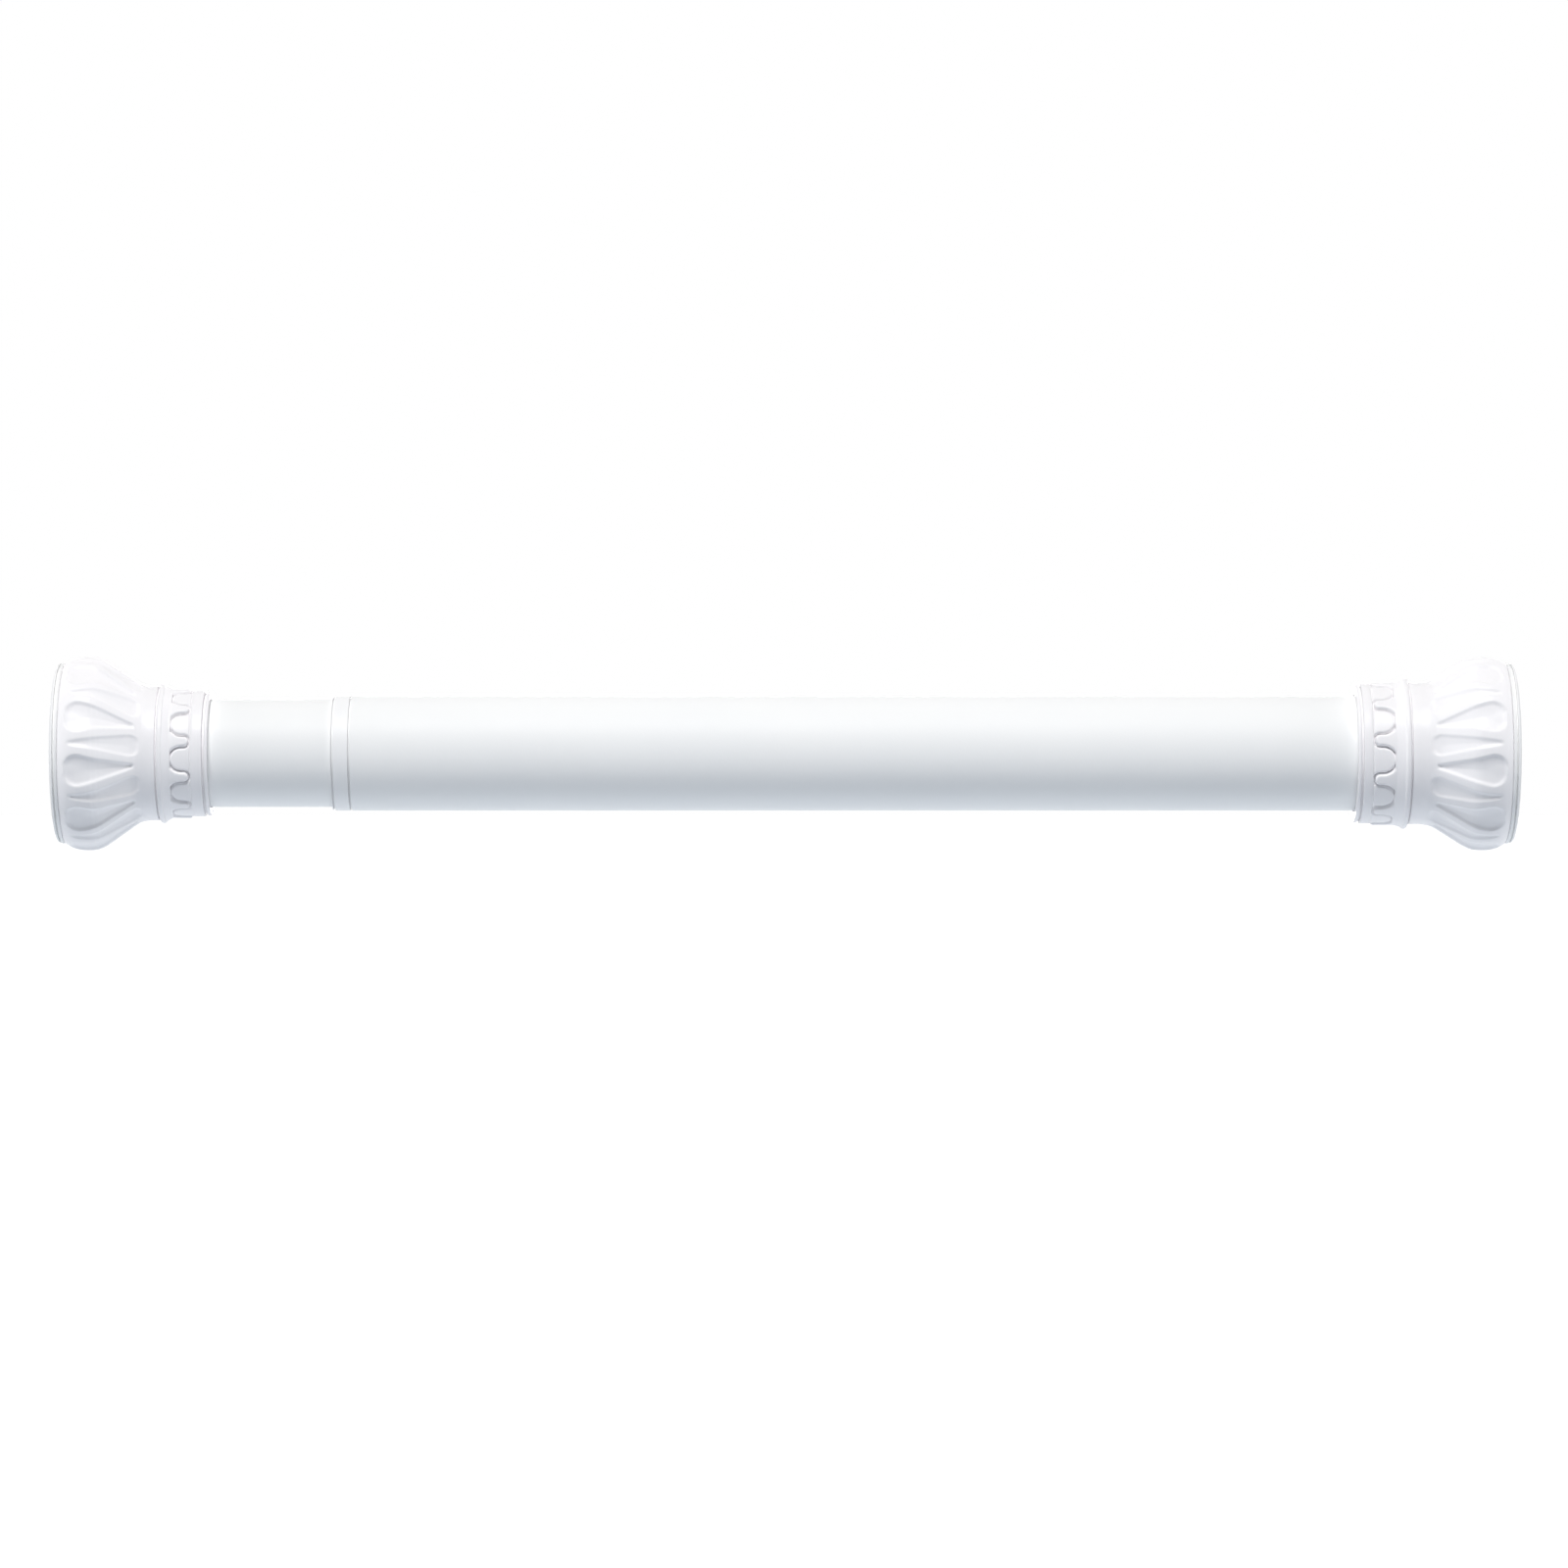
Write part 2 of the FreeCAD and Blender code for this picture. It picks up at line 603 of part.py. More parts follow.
def end_cap_pins():
    middle = END_CAP_START + END_CAP_DEPTH / 2
    return [
        radial_pin(middle, HOUSING_RADIUS - END_CAP_PIN_LENGTH, HOUSING_RADIUS, END_CAP_PIN_RADIUS,
                   360 * step / END_CAP_PINS)
        for step in range(END_CAP_PINS)
    ]


def spindle_bar(start, length, clearance=0.0):
    """Round bar with two flats, which keep the spindle from turning in the end cap."""
    bar = cylinder(start, length, SPINDLE_RADIUS + clearance)
    reach = 2 * (SPINDLE_RADIUS + clearance)
    flat = SPINDLE_FLAT + clearance
    slab = Part.makeBox(length, reach, 2 * flat, FreeCAD.Vector(start, -reach / 2, -flat))
    return bar.common(slab)


def housing_end_cap():
    """Keyed guide that closes the housing and holds the spring's preload."""
    radius = HOUSING_BORE - PRESS_FIT
    shape = turned([
        (END_CAP_START, 0),
        (END_CAP_START, radius),
        (HOUSING_END, radius),
        (HOUSING_END, HOUSING_RADIUS),
        (CARTRIDGE_END, HOUSING_RADIUS),
        (CARTRIDGE_END, 0),
    ])
    keyhole = spindle_bar(END_CAP_START, CARTRIDGE_END - END_CAP_START, RUNNING_FIT)
    return shape.cut([keyhole] + end_cap_pins())


def coil_section(turn, start, end):
    """Polygon across the spring wire at a turn, counted from the first closed coil."""
    wire = SPRING_WIRE_RADIUS
    rise = end - start - 2 * wire
    rising = (turn - SPRING_CLOSED_TURNS / 2) / (SPRING_TURNS - SPRING_CLOSED_TURNS)
    share = min(max(rising, 0.0), 1.0)
    along = start + wire + rise * share
    angle = 2 * math.pi * turn
    corners = []
    for side in range(SPRING_SIDES + 1):
        around = 2 * math.pi * (side + 0.5) / SPRING_SIDES
        out = SPRING_RADIUS + wire * math.cos(around)
        corners.append(FreeCAD.Vector(along + wire * math.sin(around), out * math.cos(angle),
                                      out * math.sin(angle)))
    return Part.makePolygon(corners)


def tension_spring():
    """Compression spring, lofted through sections along its coil."""
    end = PISTON_START
    count = SPRING_TURNS * SPRING_STATIONS
    sections = [coil_section(step / SPRING_STATIONS, SPRING_START, end) for step in range(count + 1)]
    return Part.makeLoft(sections, True, True)


def piston_pin():
    middle = PISTON_START - PISTON_BOSS_LENGTH / 2
    return Part.makeCylinder(PISTON_PIN_RADIUS, 2 * PISTON_BOSS_RADIUS,
                             FreeCAD.Vector(middle, 0, -PISTON_BOSS_RADIUS), FreeCAD.Vector(0, 0, 1))


def spring_piston():
    """Disc between the spring and the end cap, with a boss inside the spring."""
    shape = turned([
        (PISTON_START - PISTON_BOSS_LENGTH, 0),
        (PISTON_START - PISTON_BOSS_LENGTH, PISTON_BOSS_RADIUS),
        (PISTON_START, PISTON_BOSS_RADIUS),
        (PISTON_START, HOUSING_BORE - RUNNING_FIT),
        (PISTON_END, HOUSING_BORE - RUNNING_FIT),
        (PISTON_END, 0),
    ])
    bore = cylinder(PISTON_START - PISTON_BOSS_LENGTH, PISTON_BOSS_LENGTH + PISTON_THICKNESS,
                    SPINDLE_TAIL_RADIUS + PRESS_FIT)
    return shape.cut([bore, piston_pin()])


# Adjuster

def adjuster_spindle():
    """Screw spindle with a tail for the piston; its fine thread is left plain."""
    tail = cylinder(PISTON_START - PISTON_BOSS_LENGTH, PISTON_BOSS_LENGTH + PISTON_THICKNESS,
                    SPINDLE_TAIL_RADIUS)
    bar = spindle_bar(PISTON_END, SPINDLE_END - PISTON_END)
    screw_hole = cylinder(SPINDLE_END - STOP_SCREW_LENGTH, STOP_SCREW_LENGTH,
                          STOP_SCREW_RADIUS + PRESS_FIT)
    return tail.fuse(bar).cut([piston_pin(), screw_hole])


def stop_washer():
    """Washer on the spindle's end that keeps the nut on the thread."""
    return cylinder(SPINDLE_END, STOP_WASHER_THICKNESS, STOP_WASHER_RADIUS,
                    STOP_SCREW_RADIUS + RUNNING_FIT)


def stop_screw():
    """Screw through the stop washer into the spindle, drawn with its head away from the wall."""
    seat = SPINDLE_END + STOP_WASHER_THICKNESS
    shape = screw(0, STOP_SCREW_RADIUS, STOP_SCREW_LENGTH, STOP_SCREW_HEAD_RADIUS,
                  STOP_SCREW_HEAD_HEIGHT, STOP_SCREW_RADIUS)
    turned_round = shape.rotated(ORIGIN, FreeCAD.Vector(0, 0, 1), 180)
    return turned_round.translated(FreeCAD.Vector(seat, 0, 0))


def hexagon(start, length, across_flats):
    radius = across_flats / math.sqrt(3)
    corners = [
        FreeCAD.Vector(start, radius * math.sin(math.radians(60 * step)),
                       radius * math.cos(math.radians(60 * step)))
        for step in range(7)
    ]
    return Part.Face(Part.makePolygon(corners)).extrude(FreeCAD.Vector(length, 0, 0))


def spindle_nut():
    bore = cylinder(NUT_PLUG_START, NUT_HEIGHT, SPINDLE_BORE)
    return hexagon(NUT_PLUG_START, NUT_HEIGHT, NUT_ACROSS_FLATS).cut(bore)


def nut_plug_rivets():
    middle = (INNER_TUBE_START + NUT_PLUG_END) / 2
    return [
        radial_pin(middle, INNER_TUBE_RADIUS - RIVET_LENGTH, INNER_TUBE_RADIUS, RIVET_RADIUS,
                   360 * step / NUT_PLUG_RIVETS)
        for step in range(NUT_PLUG_RIVETS)
    ]


def nut_plug():
    """Plug on the inner end of the inner tube, with the nut's pocket and the glide ring's neck."""
    neck_radius = GLIDE_RING_BORE - RUNNING_FIT
    shape = turned([
        (NUT_PLUG_START, 0),
        (NUT_PLUG_START, INNER_TUBE_RADIUS - NUT_PLUG_LIP_DROP),
        (GLIDE_NECK_START, INNER_TUBE_RADIUS - NUT_PLUG_LIP_DROP),
        (GLIDE_NECK_START, neck_radius),
        (GLIDE_NECK_START + GLIDE_NECK_LENGTH, neck_radius),
        (GLIDE_NECK_START + GLIDE_NECK_LENGTH, INNER_TUBE_RADIUS),
        (INNER_TUBE_START, INNER_TUBE_RADIUS),
        (INNER_TUBE_START, INNER_TUBE_BORE - PRESS_FIT),
        (NUT_PLUG_END, INNER_TUBE_BORE - PRESS_FIT),
        (NUT_PLUG_END, 0),
    ])
    bore = cylinder(NUT_PLUG_START, NUT_PLUG_END - NUT_PLUG_START, SPINDLE_BORE)
    pocket = hexagon(NUT_PLUG_START, NUT_HEIGHT, NUT_ACROSS_FLATS + 2 * PRESS_FIT)
    return shape.cut([bore, pocket] + nut_plug_rivets())


def glide_ring():
    """Split ring that centres the inner tube and drags without turning."""
    start = GLIDE_NECK_START + RUNNING_FIT
    ring = cylinder(start, GLIDE_RING_LENGTH, GLIDE_RING_RADIUS, GLIDE_RING_BORE)
    slot = Part.makeBox(GLIDE_RING_LENGTH, GLIDE_RING_SLOT, GLIDE_RING_RADIUS,
                        FreeCAD.Vector(start, -GLIDE_RING_SLOT / 2, 0))
    return ring.cut(slot)


def all_pieces():
    """Every piece by name, in its place on the rod."""
    drawn_from_right = {
        "outer_tube": outer_tube(),
        "tube_mouth_ring": mouth_ring(),
        "right_cap_shell": cap_shell(RIGHT_CAP),
        "right_wall_pad": wall_pad(),
        "right_cap_plug": right_cap_plug(),
        "right_cap_screw": cap_screw(),
        "right_screw_washer": cap_washer(),
        "spring_housing": spring_housing(),
        "housing_pin": housing_pin(),
        "housing_end_cap": housing_end_cap(),
        "end_cap_pins": Part.makeCompound(end_cap_pins()),
        "tension_spring": tension_spring(),
        "spring_piston": spring_piston(),
        "piston_pin": piston_pin(),
        "adjuster_spindle": adjuster_spindle(),
        "stop_washer": stop_washer(),
        "stop_screw": stop_screw(),
        "glide_ring": glide_ring(),
        "inner_tube": inner_tube(),
        "nut_plug": nut_plug(),
        "spindle_nut": spindle_nut(),
        "nut_plug_rivets": Part.makeCompound(nut_plug_rivets()),
    }
    drawn_from_left = {
        "left_cap_shell": cap_shell(LEFT_CAP),
        "left_wall_pad": wall_pad(),
        "left_cap_plug": cap_plug(LEFT_CAP),
        "left_cap_screw": cap_screw(),
        "left_screw_washer": cap_washer(),
    }
    pieces = {name: at_right_end(shape) for name, shape in drawn_from_right.items()}
    pieces.update({name: at_left_end(shape) for name, shape in drawn_from_left.items()})
    return pieces


def main():
    os.makedirs("parts", exist_ok=True)
    for name, shape in all_pieces().items():
        shape.exportStep("parts/" + name + ".step")
        print(name, len(shape.Solids), "solid", round(shape.Volume, 1), "mm3",
              "valid" if shape.isValid() else "NOT VALID")
    print("rod length", round(ROD_LENGTH, 1))


main()
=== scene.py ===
import json
import math

import bpy
import numpy as np
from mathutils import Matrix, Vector


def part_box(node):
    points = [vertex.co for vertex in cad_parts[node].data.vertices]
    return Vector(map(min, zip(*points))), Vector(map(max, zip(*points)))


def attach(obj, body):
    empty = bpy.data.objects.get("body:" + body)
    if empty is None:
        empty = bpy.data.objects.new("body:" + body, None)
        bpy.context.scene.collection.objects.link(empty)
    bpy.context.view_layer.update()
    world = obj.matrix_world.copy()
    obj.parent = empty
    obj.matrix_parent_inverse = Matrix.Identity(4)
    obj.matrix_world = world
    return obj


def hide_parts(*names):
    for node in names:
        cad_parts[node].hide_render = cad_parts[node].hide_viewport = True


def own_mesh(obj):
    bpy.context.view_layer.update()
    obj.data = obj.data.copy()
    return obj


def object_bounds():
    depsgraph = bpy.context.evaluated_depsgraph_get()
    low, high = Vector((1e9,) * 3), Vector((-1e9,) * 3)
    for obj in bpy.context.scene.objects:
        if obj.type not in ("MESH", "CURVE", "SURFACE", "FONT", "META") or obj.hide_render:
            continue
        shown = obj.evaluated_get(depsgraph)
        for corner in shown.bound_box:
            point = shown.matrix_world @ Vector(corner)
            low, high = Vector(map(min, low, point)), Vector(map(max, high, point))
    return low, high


# Looks of a white spring tension rod: satin tubes, fluted caps with a meander edge, rosette pads.
# The X axis runs along the rod. A depth is a distance from the wall that a cap stands on.
# Sizes are millimetres, and MM turns them into metres. Sizes of the stage are metres.
# Angles round the rod are degrees, from the side that the camera sees and downwards.
MM = 0.001

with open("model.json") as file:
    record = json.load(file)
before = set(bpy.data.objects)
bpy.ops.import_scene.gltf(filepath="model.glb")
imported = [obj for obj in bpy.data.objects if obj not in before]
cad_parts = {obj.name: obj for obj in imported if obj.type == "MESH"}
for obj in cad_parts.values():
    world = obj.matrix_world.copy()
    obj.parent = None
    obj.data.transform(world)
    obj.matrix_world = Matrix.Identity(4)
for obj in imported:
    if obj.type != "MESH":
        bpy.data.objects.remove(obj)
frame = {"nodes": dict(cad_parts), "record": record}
cad_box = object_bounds()

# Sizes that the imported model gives
ROD_LENGTH = -cad_box[0].x / MM
TUBE_RADIUS = {"left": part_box("inner_tube")[1].z / MM, "right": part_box("outer_tube")[1].z / MM}
CAP_LENGTH = {
    "left": ROD_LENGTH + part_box("left_cap_shell")[1].x / MM,
    "right": -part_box("right_cap_shell")[0].x / MM,
}
RIM_RADIUS = -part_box("right_cap_shell")[0].z / MM
PAD_BACK = -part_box("right_wall_pad")[0].x / MM
PAD_THICKNESS = -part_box("right_cap_shell")[1].x / MM
TUBE_STOP_DEPTH = -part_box("outer_tube")[1].x / MM

# Tubes and the ring at the outer tube's mouth
TUBE_WALL = 0.5
TUBE_TRIM = 1.0
MOUTH_GAP = 0.48
MOUTH_GAP_FLOOR = 0.05
MOUTH_LIP = 0.35
MOUTH_LIP_DROP = 0.15
FIT = 0.05

# Roundings that several pieces share
FINE_ROUNDING = 0.1
EDGE_ROUNDING = 0.15
SOFT_ROUNDING = 0.2

# Flare of the wall caps, from the joint with the pad to the neck
RIM_EDGE = 25.4
RIM_EDGE_WIDTH = 0.4
RIM_BEND_DEPTH = 4.6
RIM_BEND_RADIUS = 26.6
RIM_CROWN_DEPTH = 7.5
RIM_ROUNDING = 8.0
SHOULDER_DEPTH = 12.2
SHOULDER_ROUNDING = 9.0
NECK_DEPTH = 24.1
NECK_RISE = {"left": 1.1, "right": 0.15}
NECK_ROUNDING = 9.0

# Bead after the neck, with a fine line at its foot
BEAD_FOOT = {"left": 28.8, "right": 29.7}
BEAD_RISE = {"left": 1.8, "right": 1.45}
FOOT_HALF_WIDTH = 0.32
FOOT_DEPTH = 1.0
BEAD_WIDTH = 1.2
BEAD_ROUNDING = 0.6
BEAD_STEP = 0.5

# Collar: the meander layer, then a groove and a low lip at the end
COLLAR_WALL = {"left": 2.65, "right": 3.6}
COLLAR_MARGIN = 0.3
LAYER_RISE = 0.4
LAYER_EASE = 0.1
LAYER_ROUNDING = 0.8
MEANDER_LENGTH = {"left": 5.7, "right": 6.2}
MEANDER_TO_END = {"left": 4.9, "right": 4.3}
GROOVE_WIDTH = 0.8
GROOVE_DEPTH = 1.2
END_LIP_WIDTH = 0.8
END_LIP_DROP = 0.3
END_ROUNDING = 0.35

# Inside of the caps
BORE_CHAMFER = 0.3
WEB_THICKNESS = 3.5
SCREW_HOLE_RADIUS = 2.1
POCKET_RADIUS = 21.2
POCKET_END = 5.55
CAVITY_STEP = 1.2

# Flutes of the flare, with the corners of each kind: depth, distance across and rounding
REPEATS = 11
FLUTE_ANGLE = 10.6
WIDE_FLUTE = [(4.2, -5.7, 3.6), (4.2, 5.7, 3.6), (22.9, 0.7, 0.6), (22.9, -0.7, 0.6)]
BACK_FLUTE = [(5.4, -0.7, 0.6), (5.4, 0.7, 0.6), (24.5, 3.5, 2.6), (24.5, -3.5, 2.6)]
WIDE_FLUTE_DEPTH = 1.2
BACK_FLUTE_DEPTH = 0.8
FLUTE_WALL = 1.0
FLUTE_SCOOP = 4.4
FLUTE_WALL_SHARE = 0.4

# Meander: open lobes between rounded tongues, and a seam along its edge
LOBE_ANGLE = 6.0
LOBE_SHARE = 0.34
TONGUE_ROUNDING = 1.65
STEP_WALL = 0.5
SEAM_DEPTH = 1.0
SEAM_WIDTH = 0.38

# Round ring of the wall pads
PAD_EDGE = 25.2
PAD_GROOVE = 0.95
PAD_GROOVE_WIDTH = 0.5
PAD_GROOVE_DEPTH = 0.9
PAD_GROOVE_SLOPE = 0.1
PAD_BACK_CHAMFER = 0.3
# Corners of the ring: depth, distance from its inner or outer edge, and rounding where there is one
PAD_RING_INNER = [(PAD_GROOVE / 3, 0.2, 0.4), (0, 1.2, 1.5), (0, 2.0)]
PAD_RING_OUTER = [(0, 1.9, 3.0), (PAD_GROOVE / 3, 0.6, 2.0), (PAD_GROOVE, 0, SOFT_ROUNDING)]

# Rosette of the wall pads
ROSETTE_RADIUS = 20.4
ROSETTE_MARGIN = 0.1
ROSETTE_FACE = 0.35
PETAL_DROP = 0.6
GAP_DROP = 1.1
PETAL_WALL = 0.36
PETAL_CROWN = 0.22
PETAL_CROWN_WIDTH = 1.6
PETAL_GROOVE = 0.3
OUTER_PETALS = 20
OUTER_PETAL_START = 8.0
OUTER_PETAL_SHOULDER = 18.5
OUTER_SHOULDER_ROUNDING = 0.5
OUTER_TIP_ROUNDING = 0.4
INNER_PETALS = 16
INNER_PETAL_START = 3.9
INNER_PETAL_END = 7.6
INNER_SHOULDER_ROUNDING = 0.6
INNER_TIP_ROUNDING = 0.5
CENTRE_DISC_RADIUS = 3.5
TRIANGLE_START = 18.95
TRIANGLE_HALF_WIDTH = 3.0
TRIANGLE_ARCH = 0.4

# Spring
SPRING_TURNS = 8
SPRING_STATIONS = 48
SPRING_SIDES = 12
SPRING_WIRE_RADIUS = 1.0
SPRING_END_TURNS = 0.5

# Camera
CAMERA_DISTANCE = 1.9
FRAME_WIDTH = 0.4376
PICTURE_CENTRE = (-0.2034, -0.0086)

# Floor
FLOOR_DROP = 0.3
FLOOR_RADIUS = 60.0
FLOOR_CORNERS = 96
FLOOR_WHITE = (0.8, 0.8, 0.8)
FLOOR_GLOW = 0.36
# Painted pool of light on the floor, seen only in the light that it throws back: cool white near the rod,
# grey far away
FLOOR_NEAR = (0.87, 0.93, 1.0)
FLOOR_FAR = (0.16, 0.185, 0.23)
FLOOR_NEAR_RADIUS = 1.3
FLOOR_NEAR_SHARE = 0.7

# Lamps and sky
KEY_ELEVATION = 56.0
KEY_FROM_LEFT = 9.0
KEY_SIZE = 24.0
KEY_STRENGTH = 3.02
SIDE_ELEVATION = 4.0
SIDE_SIZE = 24.0
LEFT_STRENGTH = 1.3
RIGHT_STRENGTH = 1.45
BACK_STRENGTH = 1.2
SKY_COLOUR = (0.86, 0.92, 1.0)
SKY_STRENGTH = 0.05

# Range of a noise texture that a material uses, and how far it changes a plastic's roughness
NOISE_LOW = 0.3
NOISE_HIGH = 0.7
SHEEN_DRIFT = (-0.05, 0.06)

# Fineness of the meshes
ARC_STEP = 12.0
CAP_COLUMNS = 47 * REPEATS
PAD_COLUMNS = 640
TUBE_COLUMNS = 160
FLARE_SPACING = 0.6
COLLAR_SPACING = 0.2
PAD_SPACING = 0.21
PLAIN_SPACING = 60.0
SHARP_ANGLE = 50.0
# Share of the shorter side at a corner that its rounding may take
CORNER_ROOM = 0.49
# Smallest squared length to divide by
TINY = 1e-12


def rounded(corners, closed=True):
    """Points of an outline from corners (a, b) or (a, b, rounding), with arcs at the rounded ones."""
    points = [Vector(corner[:2]) for corner in corners]
    outline = []
    for index, here in enumerate(points):
        at_end = not closed and index in (0, len(points) - 1)
        if len(corners[index]) == 2 or at_end:
            outline.append(tuple(here))
            continue
        to_before = points[index - 1] - here
        to_after = points[(index + 1) % len(points)] - here
        half_angle = to_before.angle(to_after) / 2
        room = CORNER_ROOM * min(to_before.length, to_after.length)
        setback = min(corners[index][2] / math.tan(half_angle), room)
        radius = setback * math.tan(half_angle)
        start = here + to_before.normalized() * setback
        end = here + to_after.normalized() * setback
        centre = here + (to_before.normalized() + to_after.normalized()).normalized() * (
            radius / math.sin(half_angle))
        first = math.atan2(start.y - centre.y, start.x - centre.x)
        last = math.atan2(end.y - centre.y, end.x - centre.x)
        turn = (last - first + math.pi) % (2 * math.pi) - math.pi
        count = max(2, math.ceil(abs(turn) / math.radians(ARC_STEP)))
        for step in range(count + 1):
            angle = first + turn * step / count
            outline.append((centre.x + radius * math.cos(angle), centre.y + radius * math.sin(angle)))
    return outline


def refined(points, spacing):
    """The same line with points added so that no stretch is longer than the spacing."""
    line = [points[0]]
    for before, after in zip(points, points[1:]):
        length = math.dist(before, after)
        count = max(1, math.ceil(length / spacing))
        for step in range(1, count + 1):
            share = step / count
            line.append(tuple(a + (b - a) * share for a, b in zip(before, after)))
    return line


def depth_inside(a, b, outline):
    """Distance from each point (a, b) to a closed outline, positive inside it and negative outside."""
    nearest = np.full(a.shape, np.inf)
    inside = np.zeros(a.shape, bool)
    for (a0, b0), (a1, b1) in zip(outline, outline[1:] + outline[:1]):
        da, db = a1 - a0, b1 - b0
        share = np.clip(((a - a0) * da + (b - b0) * db) / max(da * da + db * db, TINY), 0, 1)
        nearest = np.minimum(nearest, np.hypot(a - a0 - share * da, b - b0 - share * db))
        if db != 0:
            crosses = ((b0 > b) != (b1 > b)) & (a < a0 + (b - b0) * da / db)
            inside ^= crosses
    return np.where(inside, nearest, -nearest)


def smooth_step(value):
    """Soft rise from 0 to 1 as the value does."""
    t = np.clip(value, 0, 1)
    return t * t * (3 - 2 * t)


def angle_from(angles, first, count):
    """Angle from each direction to the nearest of a ring of features, in degrees."""
    pitch = 360 / count
    return (angles - first + pitch / 2) % pitch - pitch / 2


def signed_volume(vertices, faces):
    """Six times the volume inside the triangles and quads, negative if they face inwards."""
    corners = np.array(vertices)
    volume = 0.0
    for size in (3, 4):
        picked = np.array([face for face in faces if len(face) == size], int).reshape(-1, size)
        for last in range(2, size):
            a, b, c = (corners[picked[:, k]] for k in (0, last - 1, last))
            volume += np.einsum("ij,ij->i", a, np.cross(b, c)).sum()
    return volume


def make_object(name, vertices, faces):
    """Mesh object with smooth faces that all point outwards."""
    mesh = bpy.data.meshes.new(name)
    mesh.from_pydata(vertices, [], faces)
    mesh.validate()
    mesh.polygons.foreach_set("use_smooth", [True] * len(mesh.polygons))
    mesh.update()
    if signed_volume(vertices, faces) < 0:
        mesh.flip_normals()
    mesh.set_sharp_from_angle(angle=math.radians(SHARP_ANGLE))
    made = bpy.data.objects.new(name, mesh)
    bpy.context.scene.collection.objects.link(made)
    return made


def revolved(name, rows, columns, first_angle, side, closed=True):
    """Turned mesh. A row is (depth, radius), each a number or an array over the columns.
    A row of radius 0 becomes one point."""
    angles = np.radians(first_angle + 360 * np.arange(columns) / columns)
    vertices, starts, poles = [], [], []
    for depth, radius in rows:
        is_pole = np.isscalar(radius) and radius == 0
        starts.append(len(vertices))
        poles.append(is_pole)
        turn = np.zeros(1) if is_pole else angles
        x = (-ROD_LENGTH + depth if side == "left" else -depth) + 0 * turn
        place = np.stack([x, -radius * np.cos(turn), -radius * np.sin(turn)], axis=1) * MM
        vertices += [tuple(point) for point in place]

    def corner(row, column):
        """Number of a vertex, with the columns going round."""
        return starts[row] + (0 if poles[row] else column % columns)

    faces = []
    pairs = list(zip(range(len(rows)), range(1, len(rows))))
    if closed:
        pairs.append((len(rows) - 1, 0))
    for this, other in pairs:
        for column in range(columns):
            edge = (corner(this, column), corner(this, column + 1))
            next_edge = (corner(other, column + 1), corner(other, column))
            faces.append(tuple(dict.fromkeys(edge + next_edge)))
    return make_object(name, vertices, faces)


def finish_piece(piece, material, body, slot, *nodes):
    """Give a piece its material and its body, and hide the nodes that it stands for."""
    piece.data.materials.append(material)
    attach(piece, body)
    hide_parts(*nodes)


def body_of(side):
    """Moving body that carries one side of the rod."""
    return "inner_rod" if side == "left" else "outer_rod"


# Wall caps

def collar_sizes(side):
    """Radii and depths of the collar end of a cap."""
    collar = TUBE_RADIUS[side] + FIT + COLLAR_WALL[side]
    tongue_end = CAP_LENGTH[side] - MEANDER_TO_END[side]
    lobe_start = tongue_end - MEANDER_LENGTH[side]
    return {
        "collar": collar,
        "neck": collar + NECK_RISE[side],
        "bead": collar + BEAD_RISE[side],
        "layer": collar + LAYER_RISE,
        "lobe_start": lobe_start,
        "tongue_end": tongue_end,
        "collar_start": lobe_start + COLLAR_MARGIN,
        "collar_end": tongue_end + COLLAR_MARGIN,
    }


def flare_profile(side):
    """Outline of the cap from the pad joint over the flare and the bead to the meander."""
    size = collar_sizes(side)
    foot = BEAD_FOOT[side]
    bead = foot + FOOT_HALF_WIDTH
    return rounded([
        (PAD_THICKNESS, RIM_EDGE - RIM_EDGE_WIDTH),
        (PAD_THICKNESS + RIM_EDGE_WIDTH, RIM_EDGE, SOFT_ROUNDING),
        (RIM_BEND_DEPTH, RIM_BEND_RADIUS, RIM_ROUNDING),
        (RIM_CROWN_DEPTH, RIM_RADIUS, RIM_ROUNDING),
        (SHOULDER_DEPTH, RIM_RADIUS, SHOULDER_ROUNDING),
        (NECK_DEPTH, size["neck"], NECK_ROUNDING),
        (foot - FOOT_HALF_WIDTH, size["neck"], FINE_ROUNDING),
        (foot, size["neck"] - FOOT_DEPTH, FINE_ROUNDING),
        (bead, size["bead"], BEAD_ROUNDING),
        (bead + BEAD_WIDTH, size["bead"], BEAD_ROUNDING),
        (bead + BEAD_WIDTH + BEAD_STEP / 2, size["bead"] - BEAD_STEP, SOFT_ROUNDING),
        (size["lobe_start"] - LAYER_EASE, size["layer"], LAYER_ROUNDING),
        (size["collar_start"], size["layer"]),
    ], closed=False)


def tail_profile(side):
    """Outline of the cap behind the meander: groove, low lip and the edge of the bore."""
    size = collar_sizes(side)
    end = CAP_LENGTH[side]
    groove = end - END_LIP_WIDTH - GROOVE_WIDTH
    lip = size["collar"] - END_LIP_DROP
    return rounded([
        (size["collar_end"], size["collar"]),
        (groove, size["collar"], SOFT_ROUNDING),
        (groove + GROOVE_WIDTH / 4, size["collar"] - GROOVE_DEPTH),
        (groove + GROOVE_WIDTH * 3 / 4, size["collar"] - GROOVE_DEPTH),
        (groove + GROOVE_WIDTH, lip, SOFT_ROUNDING),
        (end, lip, END_ROUNDING),
        (end, TUBE_RADIUS[side] + FIT + BORE_CHAMFER),
        (end - 2 * BORE_CHAMFER, TUBE_RADIUS[side] + FIT),
    ], closed=False)


